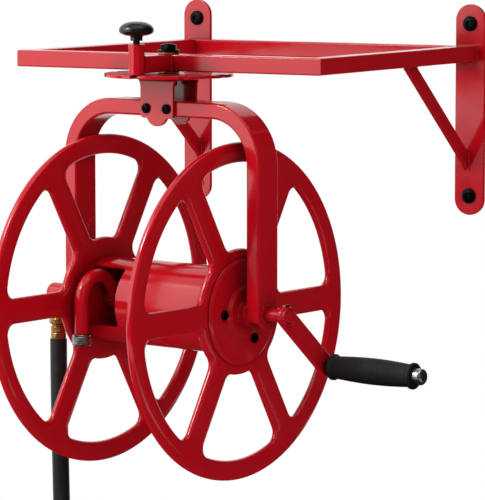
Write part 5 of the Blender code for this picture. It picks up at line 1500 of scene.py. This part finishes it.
class OBJECT_OT_reel_hose(bpy.types.Operator):
    """Inlet elbow, brass coupling, leader hose with its coil, tie and far coupling"""

    bl_idname = "object.reel_hose"
    bl_label = "Inlet and hose"

    def execute(self, context):
        y = context.scene.reel_yoke
        s = context.scene.reel_hose
        at = AXLE_AT @ shift(-(y.half + s.out), 0.0, 0.0)
        boss = -s.elbow - 0.0004
        self.elbow(s, y, context.scene.reel_drum.pipe + HOLE, boss, at)
        top = boss - SEAT
        c = s.coupling
        groove = 0.86 * c
        # Radius and depth of each step: the neck under the elbow's boss, then collars and grooves
        steps = ((0.0, 0.0), (0.0065, 0.0), (0.0065, 0.0075), (c, 0.0095), (c, 0.014), (groove, 0.0152))
        steps += ((groove, 0.0172), (1.16 * c, 0.0184), (1.16 * c, 0.0238), (groove, 0.025), (groove, 0.0268))
        steps += ((c, 0.028), (c, 0.034), (0.93 * c, 0.0352), (c, 0.0364))
        steps += ((c, COUPLING_LONG), (0.0, COUPLING_LONG))
        shape = [(radius, top - depth) for radius, depth in steps]
        near = turned_piece("brass_coupling", shape, at, "yoke", "coupling_brass", soft=0.0004)
        route = HoseRoute(y, s, -y.drop + top - COUPLING_LONG - SEAT)
        points = route.points
        nodes = ["leader_hose", "hose_coil"]
        hose = tube_piece("leader_hose", points, s.radius, 40, SWIVEL_AT, "yoke", "hose_rubber", nodes)
        r = s.radius
        neck = 0.0116
        ring = 0.0135
        far = [(0.0, SEAT), (r, SEAT), (r, 0.010), (neck, 0.012), (neck, 0.015), (ring, 0.0165)]
        far += [(ring, 0.033), (ring - 0.001, 0.034), (r, 0.034), (r, 0.022), (0.0, 0.022)]
        turn = route.heading.to_track_quat("Z", "Y").to_matrix().to_4x4()
        place = SWIVEL_AT @ shift(*points[-1]) @ turn
        end = turned_piece("far_coupling", far, place, "yoke", "coupling_brass", soft=0.0005)
        self.tie(s, route)
        return {"FINISHED"}

    def elbow(self, s, y, bore, boss, at):
        """Cup round the axle pipe that narrows to a round end, with a boss for the coupling."""
        r = s.elbow
        cup_r = 0.015
        start = y.half + 2 * SEAT
        floor = start + INLET_CUP
        out = y.half + s.out
        shape = [(bore, start), (cup_r, start), (cup_r, floor + 0.002), (r, floor + 0.004), (r, out + 0.45 * r)]
        shape += dome(r, 0.0, out + 0.45 * r, out + r, 8, 0.8)
        shape[-1] = (0.0, out + r)
        shape += [(0.0, floor), (bore, floor)]
        left = Matrix.Rotation(-math.pi / 2, 4, "Y")
        inlet = as_object("inlet_elbow_finish", mesh_of(add_turned, shape, 64, left), AXLE_AT)
        stub = fillet(ring_profile(0.0, 0.8 * r, boss, 0.0), 0.0008)
        cut(inlet, mesh_of(add_turned, stub, 48), at, "UNION")
        finish(inlet, "yoke", "red_enamel", sharp=40.0)

    def tie(self, s, route):
        """Flat woven band round two turns at the coil's right side."""
        low, high = route.coil(math.pi), route.coil(3 * math.pi)
        wide = 2 * (s.radius + 0.0008)
        long = (high - low).length + wide
        around = rounded_box(long + 0.003, wide + 0.003, s.radius, 8)
        within = rounded_box(long, wide, s.radius - 0.0015, 8)
        run = (route.coil(math.pi + 0.02) - route.coil(math.pi - 0.02)).normalized()
        u = (high - low).normalized()
        v = run.cross(u).normalized()
        middle = (low + high) / 2
        frames = [(middle - run * 0.006, u, v), (middle + run * 0.006, u, v)]
        made = as_object("coil_tie_finish", mesh_of(add_swept, frames, around, within), SWIVEL_AT)
        return finish(made, "yoke", "tie_strap", bevel=0.0004)


# ---- stage ----
def met_directly(tree):
    """1 for camera, glossy and transmission rays, 0 for the rest."""
    path = add(tree, "ShaderNodeLightPath").outputs
    links = {0: path["Is Camera Ray"], 1: path["Is Glossy Ray"]}
    seen = add(tree, "ShaderNodeMath", links, operation="MAXIMUM")
    links = {0: seen.outputs[0], 1: path["Is Transmission Ray"]}
    return add(tree, "ShaderNodeMath", links, operation="MAXIMUM").outputs[0]


def from_angle(turn, rise=0.0):
    """Way toward a place at that turn from +X and that rise, both in degrees."""
    a, e = math.radians(turn), math.radians(rise)
    return Vector((math.cos(a) * math.cos(e), math.sin(a) * math.cos(e), math.sin(e)))


class OBJECT_OT_reel_stage(bpy.types.Operator):
    """Camera at the photograph's angle, pale floor, soft lamps and a white surround"""

    bl_idname = "object.reel_stage"
    bl_label = "Stage"

    def execute(self, context):
        scene = context.scene
        scene.view_settings.view_transform = "Standard"
        camera = bpy.data.objects.new("camera", bpy.data.cameras.new("camera"))
        scene.collection.objects.link(camera)
        # The photograph's view: 31.19 degrees round from the front, 6.36 degrees up, 3.575 m away
        away = from_angle(31.19 - 90.0, 6.36)
        aim = Vector((PIVOT.x + 0.1005, -0.390, -0.2289))
        camera.location = aim + 3.575 * away
        camera.rotation_euler = (-away).to_track_quat("-Z", "Y").to_euler()
        camera.data.lens = 218.2
        camera.data.sensor_width = 36.0
        camera.data.clip_end = 60.0
        scene.camera = camera
        self.floor(scene)
        self.lamps(scene)
        self.surround(scene)
        self.panels()
        return {"FINISHED"}

    def floor(self, scene):
        """Pale sheet that fades to plain white past the object's shadow."""
        low = CAD_BOX[0].z - 0.004
        bm = bmesh.new()
        bm.faces.new([bm.verts.new((u, v, low)) for u, v in circle(14.0, 64)])
        floor = as_object("floor", bm, shift(PIVOT.x, PIVOT.y, 0.0))
        made, tree, shader = new_material("pale_paper_floor")
        join(tree, shader, {"Base Color": (*scene.reel_finishes.floor, 1.0), "Roughness": 0.8})
        place = add(tree, "ShaderNodeTexCoord").outputs["Object"]
        away = add(tree, "ShaderNodeVectorMath", {0: place, 1: (PIVOT.x, PIVOT.y, low)}, operation="DISTANCE")
        span = {"From Min": 0.5, "From Max": 1.1}
        fade = add(tree, "ShaderNodeMapRange", {"Value": away.outputs["Value"], **span})
        links = {0: met_directly(tree), 1: fade.outputs["Result"]}
        both = add(tree, "ShaderNodeMath", links, operation="MULTIPLY")
        white = add(tree, "ShaderNodeEmission", {"Color": (1.0, 1.0, 1.0, 1.0), "Strength": 1.0})
        mix = add(tree, "ShaderNodeMixShader", {0: both.outputs[0], 1: shader.outputs[0], 2: white.outputs[0]})
        join(tree, tree.nodes["Material Output"], {"Surface": mix.outputs[0]})
        floor.data.materials.append(made)

    def lamps(self, scene):
        """Near soft box at the front left, a small hard lamp over it, and weak top and right fill."""
        for name, away, size, power, roll in (
            ("soft_box", (-0.78, -0.95, 0.58), (1.25, 1.5), 12.0, 19.0),
            ("hard_lamp", (-0.75, -1.05, 1.1), (0.3, 0.3), 9.0, 0.0),
            ("top_box", (0.3, -0.3, 2.2), (1.8, 1.8), 12.0, 0.0),
            ("side_box", (1.7, -1.4, 0.9), (1.0, 1.4), 10.0, 0.0),
        ):
            data = bpy.data.lights.new(name, "AREA")
            data.shape = "RECTANGLE"
            data.size, data.size_y = size
            data.energy = power
            lamp = bpy.data.objects.new(name, data)
            scene.collection.objects.link(lamp)
            lamp.location = Vector((PIVOT.x, PIVOT.y, -0.25)) + Vector(away)
            facing = (-Vector(away)).to_track_quat("-Z", "Y").to_matrix()
            lamp.rotation_euler = (facing @ Matrix.Rotation(math.radians(roll), 3, "Z")).to_euler()
            lamp.visible_camera = False

    def surround(self, scene):
        """White to the camera and in reflections, a plain grey level as light."""
        scene.world = bpy.data.worlds.new("studio")
        scene.world.use_nodes = True
        tree = scene.world.node_tree
        level = add(tree, "ShaderNodeMapRange", {"Value": met_directly(tree), "To Min": 0.36, "To Max": 1.0})
        links = {"Color": (1.0, 1.0, 1.0, 1.0), "Strength": level.outputs["Result"]}
        join(tree, tree.nodes["Background"], links)

    def panels(self):
        """Black cloth panels, met only by reflections, that keep the enamel and the blacks deep."""
        cloth, tree, shader = new_material("black_panel_cloth")
        join(tree, shader, {"Base Color": (0.02, 0.02, 0.02, 1.0), "Roughness": 0.9, "Specular IOR Level": 0.1})
        middle = shift(PIVOT.x, PIVOT.y, 0.5)
        for name, turn, reach, wide in (
            ("right_panel", 48.0, 1.25, 2.0),
            ("side_panel", 0.0, 1.5, 1.5),
            ("camera_panel", -50.0, 1.7, 2.2),
            ("front_panel", -92.0, 1.9, 1.0),
            ("left_panel", -128.0, 2.1, 2.6),
        ):
            away = reach * from_angle(turn)
            facing = (-away).to_track_quat("Z", "Y").to_matrix().to_4x4()
            self.panel(name, wide, 2.6, middle @ shift(*away) @ facing, cloth)
        self.panel("floor_panel", 2.2, 2.2, shift(PIVOT.x, PIVOT.y, CAD_BOX[0].z - 0.002), cloth)
        self.panel("ceiling_panel", 3.0, 3.0, shift(PIVOT.x, PIVOT.y, 2.4), cloth)

    def panel(self, name, wide, high, at, cloth):
        panel = as_object(name, mesh_of(add_prism, rounded_box(wide, high, 0.05, 2), -0.001, 0.001), at)
        panel.data.materials.append(cloth)
        for kind in ("camera", "diffuse", "shadow", "transmission", "volume_scatter"):
            setattr(panel, "visible_" + kind, False)


STEPS = (
    OBJECT_OT_reel_stage,
    OBJECT_OT_reel_hose,
    OBJECT_OT_reel_frame,
    OBJECT_OT_reel_straps,
    OBJECT_OT_reel_wall_screws,
    OBJECT_OT_reel_plunger,
    OBJECT_OT_reel_pivot,
    OBJECT_OT_reel_yoke,
    OBJECT_OT_reel_flanges,
    OBJECT_OT_reel_drum,
    OBJECT_OT_reel_crank,
)
GROUPS = {
    "reel_bracket": BracketSizes,
    "reel_pivot": PivotSizes,
    "reel_yoke": YokeSizes,
    "reel_drum": ReelSizes,
    "reel_crank": CrankSizes,
    "reel_hose": HoseSizes,
    "reel_finishes": Finishes,
}


class VIEW3D_PT_hose_reel(bpy.types.Panel):
    """Lists the steps that build the hose reel"""

    bl_label = "Hose Reel"
    bl_idname = "VIEW3D_PT_hose_reel"
    bl_space_type = "VIEW_3D"
    bl_region_type = "UI"
    bl_category = "Hose Reel"

    def draw(self, context):
        for step in STEPS:
            self.layout.operator(step.bl_idname)
        for key, group in GROUPS.items():
            box = self.layout.box()
            sizes = getattr(context.scene, key)
            for field in group.__annotations__:
                box.prop(sizes, field)


def register():
    for key, group in GROUPS.items():
        bpy.utils.register_class(group)
        setattr(bpy.types.Scene, key, bpy.props.PointerProperty(type=group))
    for step in (*STEPS, VIEW3D_PT_hose_reel):
        bpy.utils.register_class(step)


def unregister():
    for step in (VIEW3D_PT_hose_reel, *reversed(STEPS)):
        bpy.utils.unregister_class(step)
    for key, group in GROUPS.items():
        delattr(bpy.types.Scene, key)
        bpy.utils.unregister_class(group)


def main():
    register()
    for step in STEPS:
        area, name = step.bl_idname.split(".")
        getattr(getattr(bpy.ops, area), name)()


if __name__ == "__main__":
    main()
